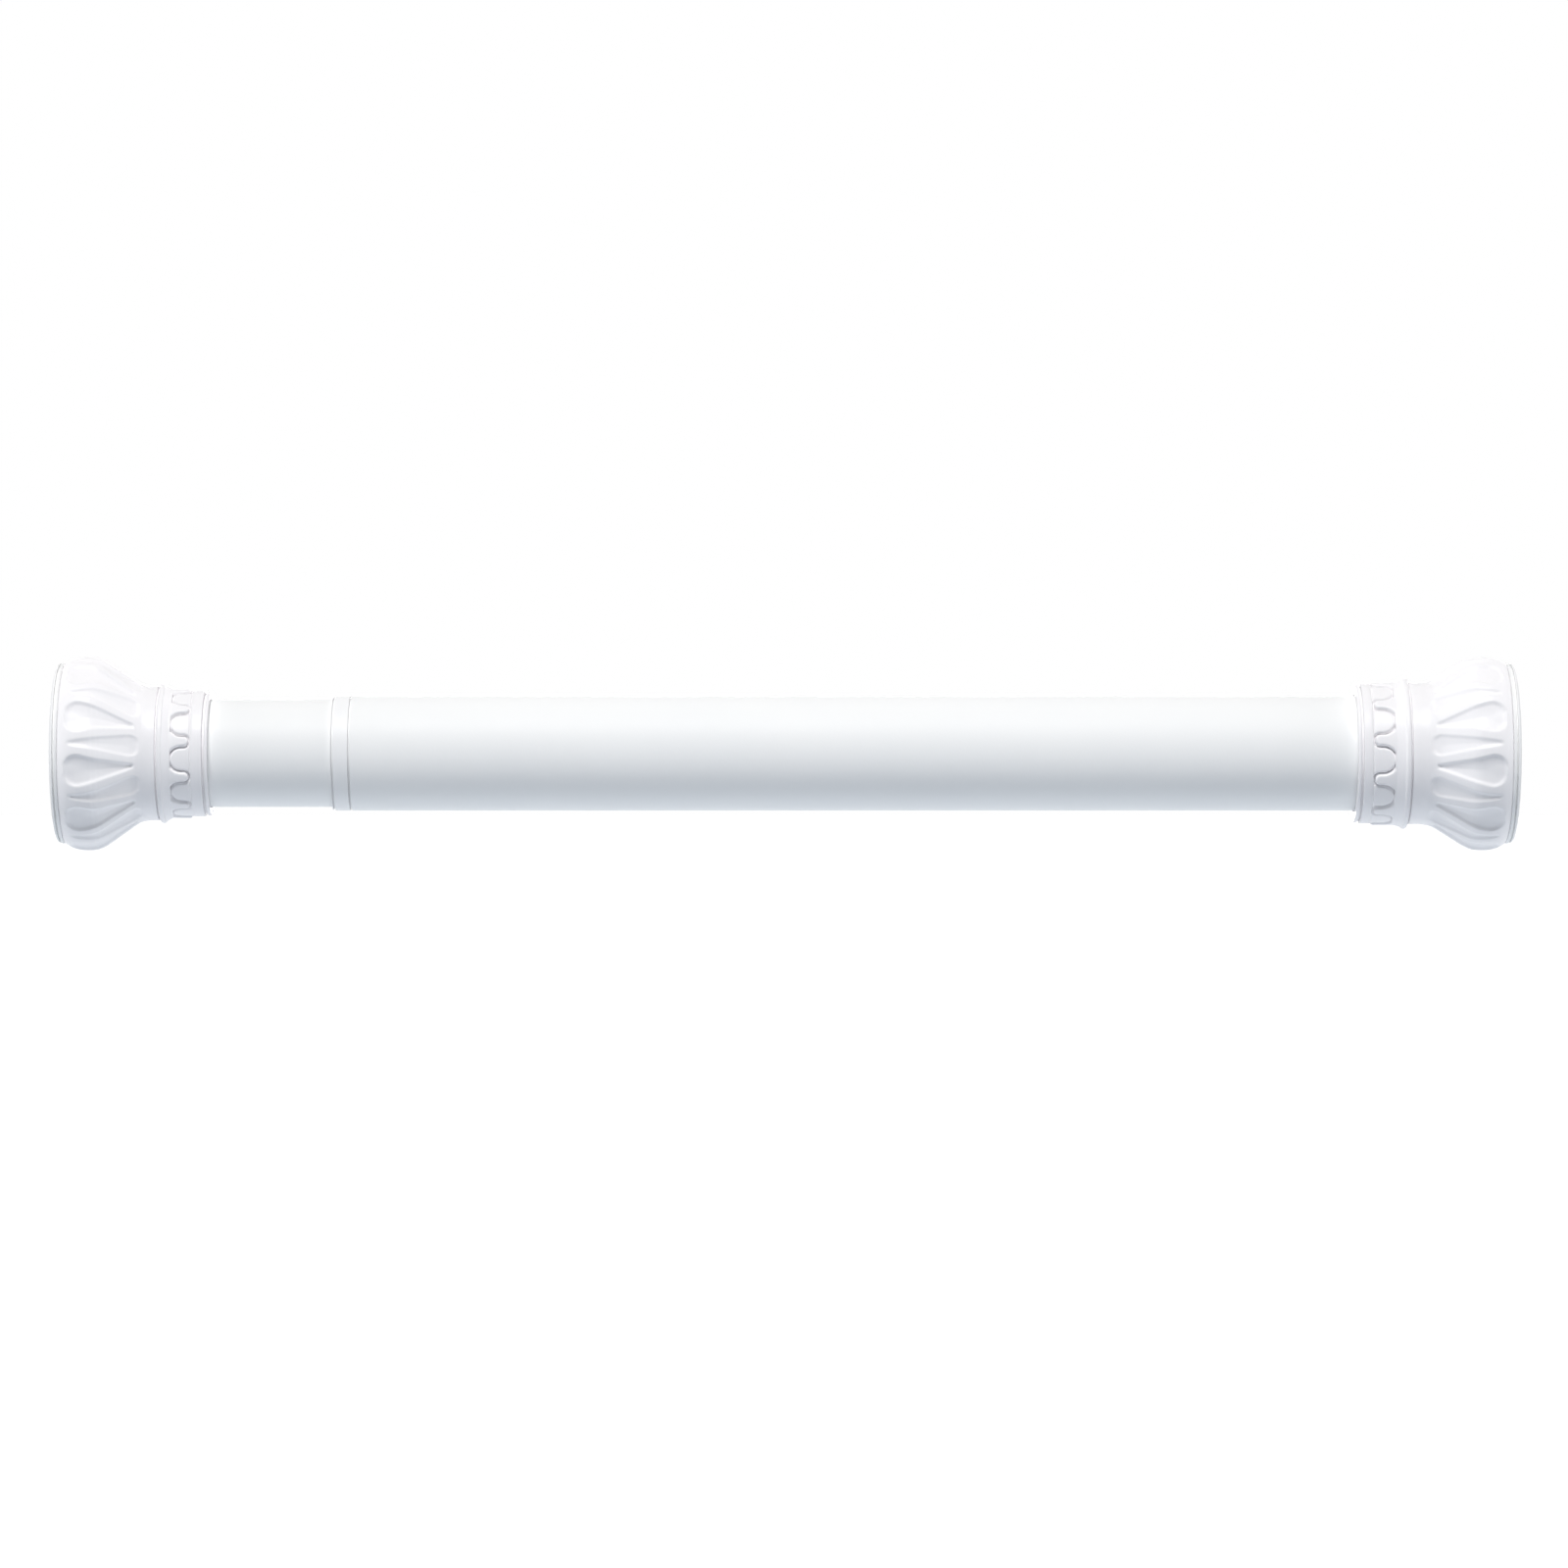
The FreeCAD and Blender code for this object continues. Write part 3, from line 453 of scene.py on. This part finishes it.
def inner_profile(side):
    """Outline of the cap's inside, from the collar's mouth back to the pad joint."""
    tube = TUBE_RADIUS[side]
    web_start = TUBE_STOP_DEPTH - WEB_THICKNESS
    return [
        (CAP_LENGTH[side] - 2 * BORE_CHAMFER, tube + FIT),
        (TUBE_STOP_DEPTH, tube + FIT),
        (TUBE_STOP_DEPTH, SCREW_HOLE_RADIUS),
        (web_start, SCREW_HOLE_RADIUS),
        (web_start, tube),
        (SHOULDER_DEPTH, tube),
        (SHOULDER_DEPTH, POCKET_RADIUS - CAVITY_STEP),
        (POCKET_END, POCKET_RADIUS - CAVITY_STEP),
        (POCKET_END, POCKET_RADIUS),
        (PAD_THICKNESS, POCKET_RADIUS),
    ]


def flute_drop(depth, radius, angles):
    """How far the flutes sink the surface of the flare: a crisp wall, then a shallow scoop."""
    drop = np.zeros(depth.shape)
    kinds = (
        (WIDE_FLUTE, WIDE_FLUTE_DEPTH, FLUTE_ANGLE),
        (BACK_FLUTE, BACK_FLUTE_DEPTH, FLUTE_ANGLE + 180 / REPEATS),
    )
    for corners, deepest, first in kinds:
        across = radius * np.radians(angle_from(angles, first, REPEATS))
        inside = depth_inside(depth, across, rounded(corners))
        wall = 1 - (1 - np.clip(inside / FLUTE_WALL, 0, 1)) ** 2
        scoop = 1 - (1 - np.clip(inside / FLUTE_SCOOP, 0, 1)) ** 2
        drop = np.maximum(drop, deepest * (scoop + FLUTE_WALL_SHARE * (wall - scoop)))
    return drop


def lobe_outline(side):
    """Outline of one open lobe of the meander, with a rounded tongue at each side of its mouth."""
    size = collar_sizes(side)
    lobe_radius = LOBE_SHARE * 2 * math.pi * size["layer"] / REPEATS
    centre = size["lobe_start"] + lobe_radius
    tip = size["tongue_end"] - TONGUE_ROUNDING
    tongue = math.sqrt((lobe_radius + TONGUE_ROUNDING) ** 2 - (tip - centre) ** 2)
    touch = math.degrees(math.atan2(tongue, tip - centre))
    outline = []

    def arc(along, across, radius, start, end):
        """Add an arc around a centre to the outline."""
        count = math.ceil(abs(end - start) / ARC_STEP)
        for step in range(count + 1):
            angle = math.radians(start + (end - start) * step / count)
            outline.append((along + radius * math.cos(angle), across + radius * math.sin(angle)))

    arc(centre, 0, lobe_radius, 360 - touch, touch)
    arc(tip, tongue, TONGUE_ROUNDING, touch + 180, 360)
    outline.append((size["tongue_end"] + STEP_WALL, tongue))
    outline.append((size["tongue_end"] + STEP_WALL, -tongue))
    arc(tip, -tongue, TONGUE_ROUNDING, 0, 180 - touch)
    return outline


def layer_rise(side, depth, angles):
    """Height of the meander layer over the collar, with an engraved seam along its edge."""
    size = collar_sizes(side)
    across = size["layer"] * np.radians(angle_from(angles, LOBE_ANGLE, REPEATS))
    outside_lobe = -depth_inside(depth, across, lobe_outline(side))
    raised = np.minimum(outside_lobe, size["tongue_end"] - depth)
    rise = LAYER_RISE * smooth_step(raised / STEP_WALL)
    past_tongues = smooth_step((depth - size["tongue_end"]) / SEAM_WIDTH)
    seam = SEAM_DEPTH * np.exp(-(raised / SEAM_WIDTH) ** 2) * (1 - past_tongues)
    return rise - seam


def cap_shell(side, material):
    """Cap shell: fluted flare, bead, meander collar, groove and lip, and its plain inside."""
    size = collar_sizes(side)
    collar = [(size["collar_start"], size["collar"]), (size["collar_end"], size["collar"])]
    angles = FLUTE_ANGLE + 360 * np.arange(CAP_COLUMNS) / CAP_COLUMNS
    rows = []
    for depth, radius in refined(flare_profile(side), FLARE_SPACING):
        depths = np.full(CAP_COLUMNS, depth)
        drop = flute_drop(depths, radius, angles)
        rows.append((depths, radius - drop))
    for depth, radius in refined(collar, COLLAR_SPACING)[1:]:
        depths = np.full(CAP_COLUMNS, depth)
        rows.append((depths, radius + layer_rise(side, depths, angles)))
    plain = refined(tail_profile(side), FLARE_SPACING)[1:] + refined(inner_profile(side), PLAIN_SPACING)[1:]
    for depth, radius in plain:
        rows.append((depth, radius + np.zeros(CAP_COLUMNS)))
    shell = revolved(side + "_cap_fluted_shell", rows, CAP_COLUMNS, FLUTE_ANGLE, side)
    finish_piece(shell, material, body_of(side), "cap_white", side + "_cap_shell")


# Wall pads

def petal_half_width(radius, count):
    """Half the width of one of a ring of petals at a radius, less its share of the groove."""
    return radius * math.tan(math.radians(180 / count)) - PETAL_GROOVE / 2


def outer_petal():
    """Outline (out, across) of a petal of the outer ring."""
    start_half = petal_half_width(OUTER_PETAL_START, OUTER_PETALS)
    shoulder_half = petal_half_width(OUTER_PETAL_SHOULDER, OUTER_PETALS)
    return rounded([
        (OUTER_PETAL_START, -start_half, start_half),
        (OUTER_PETAL_START, start_half, start_half),
        (OUTER_PETAL_SHOULDER, shoulder_half, OUTER_SHOULDER_ROUNDING),
        (ROSETTE_RADIUS - PETAL_GROOVE / 2, 0, OUTER_TIP_ROUNDING),
        (OUTER_PETAL_SHOULDER, -shoulder_half, OUTER_SHOULDER_ROUNDING),
    ])


def triangle():
    """Outline (out, across) of a field between the tips of two outer petals."""
    return rounded([
        (TRIANGLE_START, 0, SOFT_ROUNDING),
        (ROSETTE_RADIUS - TRIANGLE_ARCH, TRIANGLE_HALF_WIDTH, FINE_ROUNDING),
        (ROSETTE_RADIUS, 0),
        (ROSETTE_RADIUS - TRIANGLE_ARCH, -TRIANGLE_HALF_WIDTH, FINE_ROUNDING),
    ])


def inner_petal():
    """Outline (out, across) of a petal of the inner ring."""
    shoulder = (INNER_PETAL_START + 2 * INNER_PETAL_END) / 3
    start_half = petal_half_width(INNER_PETAL_START, INNER_PETALS)
    shoulder_half = petal_half_width(shoulder, INNER_PETALS)
    return rounded([
        (INNER_PETAL_START, -start_half, SOFT_ROUNDING),
        (INNER_PETAL_START, start_half, SOFT_ROUNDING),
        (shoulder, shoulder_half, INNER_SHOULDER_ROUNDING),
        (INNER_PETAL_END, 0, INNER_TIP_ROUNDING),
        (shoulder, -shoulder_half, INNER_SHOULDER_ROUNDING),
    ])


def rosette_fields():
    """Raised fields of the rosette: outline, count and first angle, with one petal straight up."""
    up = -90.0
    return (
        (outer_petal(), OUTER_PETALS, up),
        (triangle(), OUTER_PETALS, up + 180 / OUTER_PETALS),
        (inner_petal(), INNER_PETALS, up),
    )


def rosette_depth(radius, angles):
    """Depth of the rosette's surface at one radius: crowned fields with grooves between them."""
    inside = CENTRE_DISC_RADIUS - radius + np.zeros(angles.shape)
    for outline, count, first in rosette_fields():
        turn = np.radians(angle_from(angles, first, count))
        inside = np.maximum(inside, depth_inside(radius * np.cos(turn), radius * np.sin(turn), outline))
    wall = 1 - smooth_step((inside + PETAL_WALL / 3) / PETAL_WALL)
    gap = smooth_step((-inside - PETAL_GROOVE / 2) / PETAL_WALL)
    crown = 1 - (1 - np.clip(inside / PETAL_CROWN_WIDTH, 0, 1)) ** 2
    return ROSETTE_FACE + PETAL_DROP * wall + GAP_DROP * gap - PETAL_CROWN * crown


def pad_profile():
    """Outline of the pad from the rosette's edge over its round ring to the middle of its back."""
    groove_end = PAD_GROOVE + PAD_GROOVE_WIDTH
    ring = [(ROSETTE_FACE + PETAL_DROP, ROSETTE_RADIUS + ROSETTE_MARGIN)]
    ring += [(depth, ROSETTE_RADIUS + across, *rounding) for depth, across, *rounding in PAD_RING_INNER]
    ring += [(depth, PAD_EDGE - across, *rounding) for depth, across, *rounding in PAD_RING_OUTER]
    ring += [
        (PAD_GROOVE + PAD_GROOVE_SLOPE, PAD_EDGE - PAD_GROOVE_DEPTH),
        (groove_end - PAD_GROOVE_SLOPE, PAD_EDGE - PAD_GROOVE_DEPTH),
        (groove_end, PAD_EDGE, EDGE_ROUNDING),
        (PAD_THICKNESS - PAD_BACK_CHAMFER / 2, PAD_EDGE, SOFT_ROUNDING),
        (PAD_THICKNESS, PAD_EDGE - PAD_BACK_CHAMFER),
    ]
    back = [(PAD_THICKNESS, POCKET_RADIUS - FIT), (PAD_BACK, POCKET_RADIUS - FIT), (PAD_BACK, 0)]
    return rounded(ring, closed=False) + back


def wall_pad(side, material):
    """Wall pad: petal rosette, round ring with its groove, and a plain back."""
    angles = 360 * np.arange(PAD_COLUMNS) / PAD_COLUMNS
    face = refined([(PAD_SPACING, 0), (ROSETTE_RADIUS, 0)], PAD_SPACING)
    rows = [(ROSETTE_FACE - PETAL_CROWN, 0)]
    rows += [(rosette_depth(radius, angles), radius + np.zeros(PAD_COLUMNS)) for radius, _ in face]
    for depth, radius in pad_profile():
        rows.append((depth, radius + np.zeros(PAD_COLUMNS) if radius else 0))
    pad = revolved(side + "_rosette_pad", rows, PAD_COLUMNS, 0.0, side, closed=False)
    finish_piece(pad, material, body_of(side), "pad_white", side + "_wall_pad")


# Tubes

def depth_range(node):
    """Depths from the right wall where a node starts and ends."""
    low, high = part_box(node)
    return -high.x / MM, -low.x / MM


def turned_piece(name, profile):
    """Plain turned piece, with depths from the right wall."""
    rows = [(depth, radius + np.zeros(TUBE_COLUMNS)) for depth, radius in rounded(profile)]
    return revolved(name, rows, TUBE_COLUMNS, 0.0, "right")


def painted_tube(node, start, end, side, material):
    """Tube with rounded edges at both ends."""
    radius = TUBE_RADIUS[side]
    bore = radius - TUBE_WALL
    piece = turned_piece(node + "_painted", [
        (start, bore),
        (start, radius, EDGE_ROUNDING),
        (end, radius, EDGE_ROUNDING),
        (end, bore),
    ])
    finish_piece(piece, material, body_of(side), "white_tube", node)


def mouth_ring(start, material):
    """Moulded ring with a gap beside the tube's end, and a second one before its own low lip."""
    skirt_start, end = depth_range("tube_mouth_ring")
    radius = TUBE_RADIUS["right"]
    bore = TUBE_RADIUS["left"] + 2 * FIT
    skirt = radius - TUBE_WALL - FIT
    floor_radius = bore + MOUTH_GAP_FLOOR
    lip = end - MOUTH_LIP
    ring = turned_piece("mouth_ring_moulded", [
        (skirt_start, bore),
        (skirt_start, skirt),
        (start, skirt),
        (start, floor_radius),
        (start + MOUTH_GAP, floor_radius),
        (start + MOUTH_GAP, radius, EDGE_ROUNDING),
        (lip - MOUTH_GAP, radius, EDGE_ROUNDING),
        (lip - MOUTH_GAP, floor_radius),
        (lip, floor_radius),
        (lip, radius - MOUTH_LIP_DROP, EDGE_ROUNDING),
        (end, radius - MOUTH_LIP_DROP, EDGE_ROUNDING),
        (end, bore),
    ])
    finish_piece(ring, material, body_of("right"), "mouth_white", "tube_mouth_ring")


def tubes(paint, plastic):
    """Both tubes and the mouth ring."""
    start, end = depth_range("outer_tube")
    painted_tube("outer_tube", start, end - TUBE_TRIM, "right", paint)
    mouth_ring(end - TUBE_TRIM, plastic)
    start, end = depth_range("inner_tube")
    painted_tube("inner_tube", start, end, "left", paint)


# Spring

def coil_vertices(start, length, winding):
    """Rings of points along the wire, which lies flat for the first and the last half turn."""
    vertices = []
    for station in range(SPRING_TURNS * SPRING_STATIONS + 1):
        turn = station / SPRING_STATIONS
        share = min(max((turn - SPRING_END_TURNS) / (SPRING_TURNS - 2 * SPRING_END_TURNS), 0), 1)
        angle = 2 * math.pi * turn
        for side in range(SPRING_SIDES):
            around = 2 * math.pi * side / SPRING_SIDES
            out = winding + SPRING_WIRE_RADIUS * math.cos(around)
            along = start + length * share + SPRING_WIRE_RADIUS * math.sin(around)
            vertices.append((-along * MM, out * math.cos(angle) * MM, out * math.sin(angle) * MM))
    return vertices


def coil_faces():
    """Faces of the wire, with one face over each of its ends."""
    count = SPRING_TURNS * SPRING_STATIONS
    first_end = tuple(range(SPRING_SIDES))
    last_end = tuple(reversed(range(count * SPRING_SIDES, (count + 1) * SPRING_SIDES)))
    faces = [first_end, last_end]
    for station in range(count):
        here, there = station * SPRING_SIDES, (station + 1) * SPRING_SIDES
        for side in range(SPRING_SIDES):
            after = (side + 1) % SPRING_SIDES
            faces.append((here + side, there + side, there + after, here + after))
    return faces


def coil_spring(material):
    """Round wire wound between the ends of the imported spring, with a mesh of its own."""
    low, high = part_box("tension_spring")
    length = (high.x - low.x) / MM - 2 * SPRING_WIRE_RADIUS
    winding = high.z / MM - SPRING_WIRE_RADIUS
    start = -high.x / MM + SPRING_WIRE_RADIUS
    spring = make_object("coiled_spring", coil_vertices(start, length, winding), coil_faces())
    finish_piece(spring, material, body_of("right"), "steel", "tension_spring")
    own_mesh(spring)


# Materials

def new_material(name, colour, roughness, metallic=0.0, specular=0.5):
    """Material with its node tree and its shader."""
    material = bpy.data.materials.new(name)
    material.use_nodes = True
    shader = material.node_tree.nodes["Principled BSDF"]
    shader.inputs["Base Color"].default_value = (*colour, 1)
    shader.inputs["Roughness"].default_value = roughness
    shader.inputs["Metallic"].default_value = metallic
    shader.inputs["Specular IOR Level"].default_value = specular
    return material, material.node_tree, shader


def noise(tree, scale, detail=3.0, stretch=(1, 1, 1)):
    """Noise in the piece's own coordinates, with its scale per metre."""
    place = tree.nodes.new("ShaderNodeTexCoord")
    mapping = tree.nodes.new("ShaderNodeMapping")
    mapping.inputs["Scale"].default_value = stretch
    texture = tree.nodes.new("ShaderNodeTexNoise")
    texture.inputs["Scale"].default_value = scale
    texture.inputs["Detail"].default_value = detail
    tree.links.new(place.outputs["Object"], mapping.inputs["Vector"])
    tree.links.new(mapping.outputs["Vector"], texture.inputs["Vector"])
    return texture.outputs["Fac"]


def spread(tree, source, low, high):
    """Map a noise value to a range."""
    node = tree.nodes.new("ShaderNodeMapRange")
    node.inputs["From Min"].default_value = NOISE_LOW
    node.inputs["From Max"].default_value = NOISE_HIGH
    node.inputs["To Min"].default_value = low
    node.inputs["To Max"].default_value = high
    tree.links.new(source, node.inputs["Value"])
    return node.outputs["Result"]


def tint(tree, shader, source, light, dark):
    """Drift of the base colour between two tones."""
    ramp = tree.nodes.new("ShaderNodeValToRGB")
    ramp.color_ramp.elements[0].position = NOISE_LOW
    ramp.color_ramp.elements[0].color = (*dark, 1)
    ramp.color_ramp.elements[1].position = NOISE_HIGH
    ramp.color_ramp.elements[1].color = (*light, 1)
    tree.links.new(source, ramp.inputs["Fac"])
    tree.links.new(ramp.outputs["Color"], shader.inputs["Base Color"])


def bump(tree, shader, source, height):
    """Fine relief, with its height in metres."""
    node = tree.nodes.new("ShaderNodeBump")
    node.inputs["Strength"].default_value = 1.0
    node.inputs["Distance"].default_value = height
    tree.links.new(source, node.inputs["Height"])
    tree.links.new(node.outputs["Normal"], shader.inputs["Normal"])


def painted_white():
    """Powder paint on steel tube: fine orange peel and a faint drift of tone."""
    material, tree, shader = new_material("painted_white", (0.9, 0.9, 0.89), roughness=0.42, specular=0.08)
    tint(tree, shader, noise(tree, scale=35), light=(0.900, 0.902, 0.898), dark=(0.885, 0.889, 0.888))
    tree.links.new(spread(tree, noise(tree, scale=400), low=0.38, high=0.48), shader.inputs["Roughness"])
    bump(tree, shader, noise(tree, scale=1400, detail=2.0), height=0.000012)
    return material


def moulded(name, light, dark, roughness, grain):
    """Moulded plastic: soft sheen, faint clouds of tone and a fine mould texture."""
    material, tree, shader = new_material(name, light, roughness, specular=0.2)
    tint(tree, shader, noise(tree, scale=60), light, dark)
    low, high = (roughness + drift for drift in SHEEN_DRIFT)
    tree.links.new(spread(tree, noise(tree, scale=500), low, high), shader.inputs["Roughness"])
    bump(tree, shader, noise(tree, scale=2200, detail=2.0), height=grain)
    return material


def turned_steel():
    """Zinc-plated steel with fine lines around the rod."""
    material, tree, shader = new_material("plated_steel", (0.62, 0.62, 0.63), roughness=0.32, metallic=1.0)
    lines = noise(tree, scale=900, detail=2.0, stretch=(6, 1, 1))
    tint(tree, shader, noise(tree, scale=120), light=(0.66, 0.66, 0.67), dark=(0.56, 0.57, 0.59))
    tree.links.new(spread(tree, lines, low=0.26, high=0.4), shader.inputs["Roughness"])
    bump(tree, shader, lines, height=0.000008)
    return material


# Stage

def camera():
    """Camera in front of the rod, level with the picture's centre."""
    data = bpy.data.cameras.new("camera")
    data.angle = 2 * math.atan(FRAME_WIDTH / 2 / CAMERA_DISTANCE)
    data.clip_end = 2 * FLOOR_RADIUS
    made = bpy.data.objects.new("camera", data)
    bpy.context.scene.collection.objects.link(made)
    made.location = (PICTURE_CENTRE[0], -CAMERA_DISTANCE, PICTURE_CENTRE[1])
    made.rotation_euler = (math.radians(90), 0, 0)
    bpy.context.scene.camera = made


def seen_directly(tree):
    """1 for camera, glossy and transmission rays."""
    path = tree.nodes.new("ShaderNodeLightPath")
    total = path.outputs["Is Camera Ray"]
    for kind in ("Is Glossy Ray", "Is Transmission Ray"):
        node = tree.nodes.new("ShaderNodeMath")
        node.operation = "MAXIMUM"
        tree.links.new(total, node.inputs[0])
        tree.links.new(path.outputs[kind], node.inputs[1])
        total = node.outputs[0]
    return total


def seen_shader(tree):
    """White with the rod's shadow, and a little glow."""
    seen = tree.nodes.new("ShaderNodeAddShader")
    white = tree.nodes.new("ShaderNodeBsdfDiffuse")
    white.inputs["Color"].default_value = (*FLOOR_WHITE, 1)
    glow = tree.nodes.new("ShaderNodeEmission")
    glow.inputs["Strength"].default_value = FLOOR_GLOW
    tree.links.new(white.outputs[0], seen.inputs[0])
    tree.links.new(glow.outputs[0], seen.inputs[1])
    return seen


def painted_pool_shader(tree):
    """Painted pool of bounce light on the floor: cool white near the rod, and grey far away."""
    cool = tree.nodes.new("ShaderNodeBsdfDiffuse")
    place = tree.nodes.new("ShaderNodeTexCoord")
    mapping = tree.nodes.new("ShaderNodeMapping")
    mapping.inputs["Scale"].default_value = (1 / FLOOR_NEAR_RADIUS,) * 3
    fade = tree.nodes.new("ShaderNodeTexGradient")
    fade.gradient_type = "SPHERICAL"
    ramp = tree.nodes.new("ShaderNodeValToRGB")
    ramp.color_ramp.elements[0].color = (*FLOOR_FAR, 1)
    ramp.color_ramp.elements[1].color = (*FLOOR_NEAR, 1)
    ramp.color_ramp.elements[1].position = FLOOR_NEAR_SHARE
    tree.links.new(place.outputs["Object"], mapping.inputs["Vector"])
    tree.links.new(mapping.outputs["Vector"], fade.inputs["Vector"])
    tree.links.new(fade.outputs["Fac"], ramp.inputs["Fac"])
    tree.links.new(ramp.outputs["Color"], cool.inputs["Color"])
    return cool


def floor_material():
    """White where the floor is seen, and a painted pool of cool light around the rod in the light that it
    throws back.
    """
    material = bpy.data.materials.new("pale_floor")
    material.use_nodes = True
    tree = material.node_tree
    tree.nodes.clear()
    output = tree.nodes.new("ShaderNodeOutputMaterial")
    mix = tree.nodes.new("ShaderNodeMixShader")
    tree.links.new(seen_directly(tree), mix.inputs[0])
    tree.links.new(painted_pool_shader(tree).outputs[0], mix.inputs[1])
    tree.links.new(seen_shader(tree).outputs[0], mix.inputs[2])
    tree.links.new(mix.outputs[0], output.inputs["Surface"])
    return material


def floor():
    """Wide pale floor below the rod."""
    bpy.ops.mesh.primitive_circle_add(vertices=FLOOR_CORNERS, radius=FLOOR_RADIUS, fill_type="NGON",
                                      location=(PICTURE_CENTRE[0], 0, -FLOOR_DROP))
    made = bpy.context.object
    made.name = "floor"
    made.data.materials.append(floor_material())


def lamp(name, strength, size, elevation, from_left):
    """Wide soft lamp far away; 0 degrees from the left is the camera's side."""
    data = bpy.data.lights.new(name, "SUN")
    data.energy = strength
    data.angle = math.radians(size)
    made = bpy.data.objects.new(name, data)
    bpy.context.scene.collection.objects.link(made)
    made.rotation_euler = (math.radians(90 - elevation), 0, math.radians(-from_left))


def lamps():
    """High key lamp in front, and weak low lamps at the sides and behind."""
    lamp("key", KEY_STRENGTH, KEY_SIZE, KEY_ELEVATION, KEY_FROM_LEFT)
    lamp("side_left", LEFT_STRENGTH, SIDE_SIZE, SIDE_ELEVATION, from_left=90)
    lamp("side_right", RIGHT_STRENGTH, SIDE_SIZE, SIDE_ELEVATION, from_left=-90)
    lamp("back", BACK_STRENGTH, SIDE_SIZE, SIDE_ELEVATION, from_left=180)


def sky():
    """Weak sky light, seen as plain white."""
    world = bpy.data.worlds.new("studio")
    bpy.context.scene.world = world
    world.use_nodes = True
    tree = world.node_tree
    back = tree.nodes["Background"]
    back.inputs["Color"].default_value = (*SKY_COLOUR, 1)
    back.inputs["Strength"].default_value = SKY_STRENGTH
    white = tree.nodes.new("ShaderNodeBackground")
    white.inputs["Strength"].default_value = 1.0
    white.inputs["Color"].default_value = (1, 1, 1, 1)
    mix = tree.nodes.new("ShaderNodeMixShader")
    tree.links.new(seen_directly(tree), mix.inputs[0])
    tree.links.new(back.outputs[0], mix.inputs[1])
    tree.links.new(white.outputs[0], mix.inputs[2])
    tree.links.new(mix.outputs[0], tree.nodes["World Output"].inputs["Surface"])


def slot_materials():
    """One material for each material slot of the record."""
    return {
        "white_tube": painted_white(),
        "cap_white": moulded("cap_plastic", light=(0.905, 0.892, 0.903), dark=(0.892, 0.878, 0.891),
                             roughness=0.34, grain=0.00001),
        "mouth_white": moulded("ring_plastic", light=(0.9, 0.9, 0.9), dark=(0.88, 0.88, 0.885),
                               roughness=0.4, grain=0.00001),
        "pad_white": moulded("pad_rubber", light=(0.9, 0.9, 0.895), dark=(0.88, 0.882, 0.88),
                             roughness=0.55, grain=0.00002),
        "moulded_grey": moulded("grey_plastic", light=(0.62, 0.63, 0.65), dark=(0.56, 0.57, 0.59),
                                roughness=0.5, grain=0.00003),
        "steel": turned_steel(),
    }


def main():
    """Stage, materials on all nodes, and the pieces that take the place of nodes."""
    camera()
    floor()
    lamps()
    sky()
    bpy.context.scene.view_settings.view_transform = "Standard"
    materials = slot_materials()
    for part in frame["record"]["subparts"]:
        node = frame["nodes"][part["node"]]
        node.data.materials.clear()
        node.data.materials.append(materials[part["material_slot"]])
    for side in ("left", "right"):
        cap_shell(side, materials["cap_white"])
        wall_pad(side, materials["pad_white"])
    tubes(materials["white_tube"], materials["mouth_white"])
    coil_spring(materials["steel"])


main()
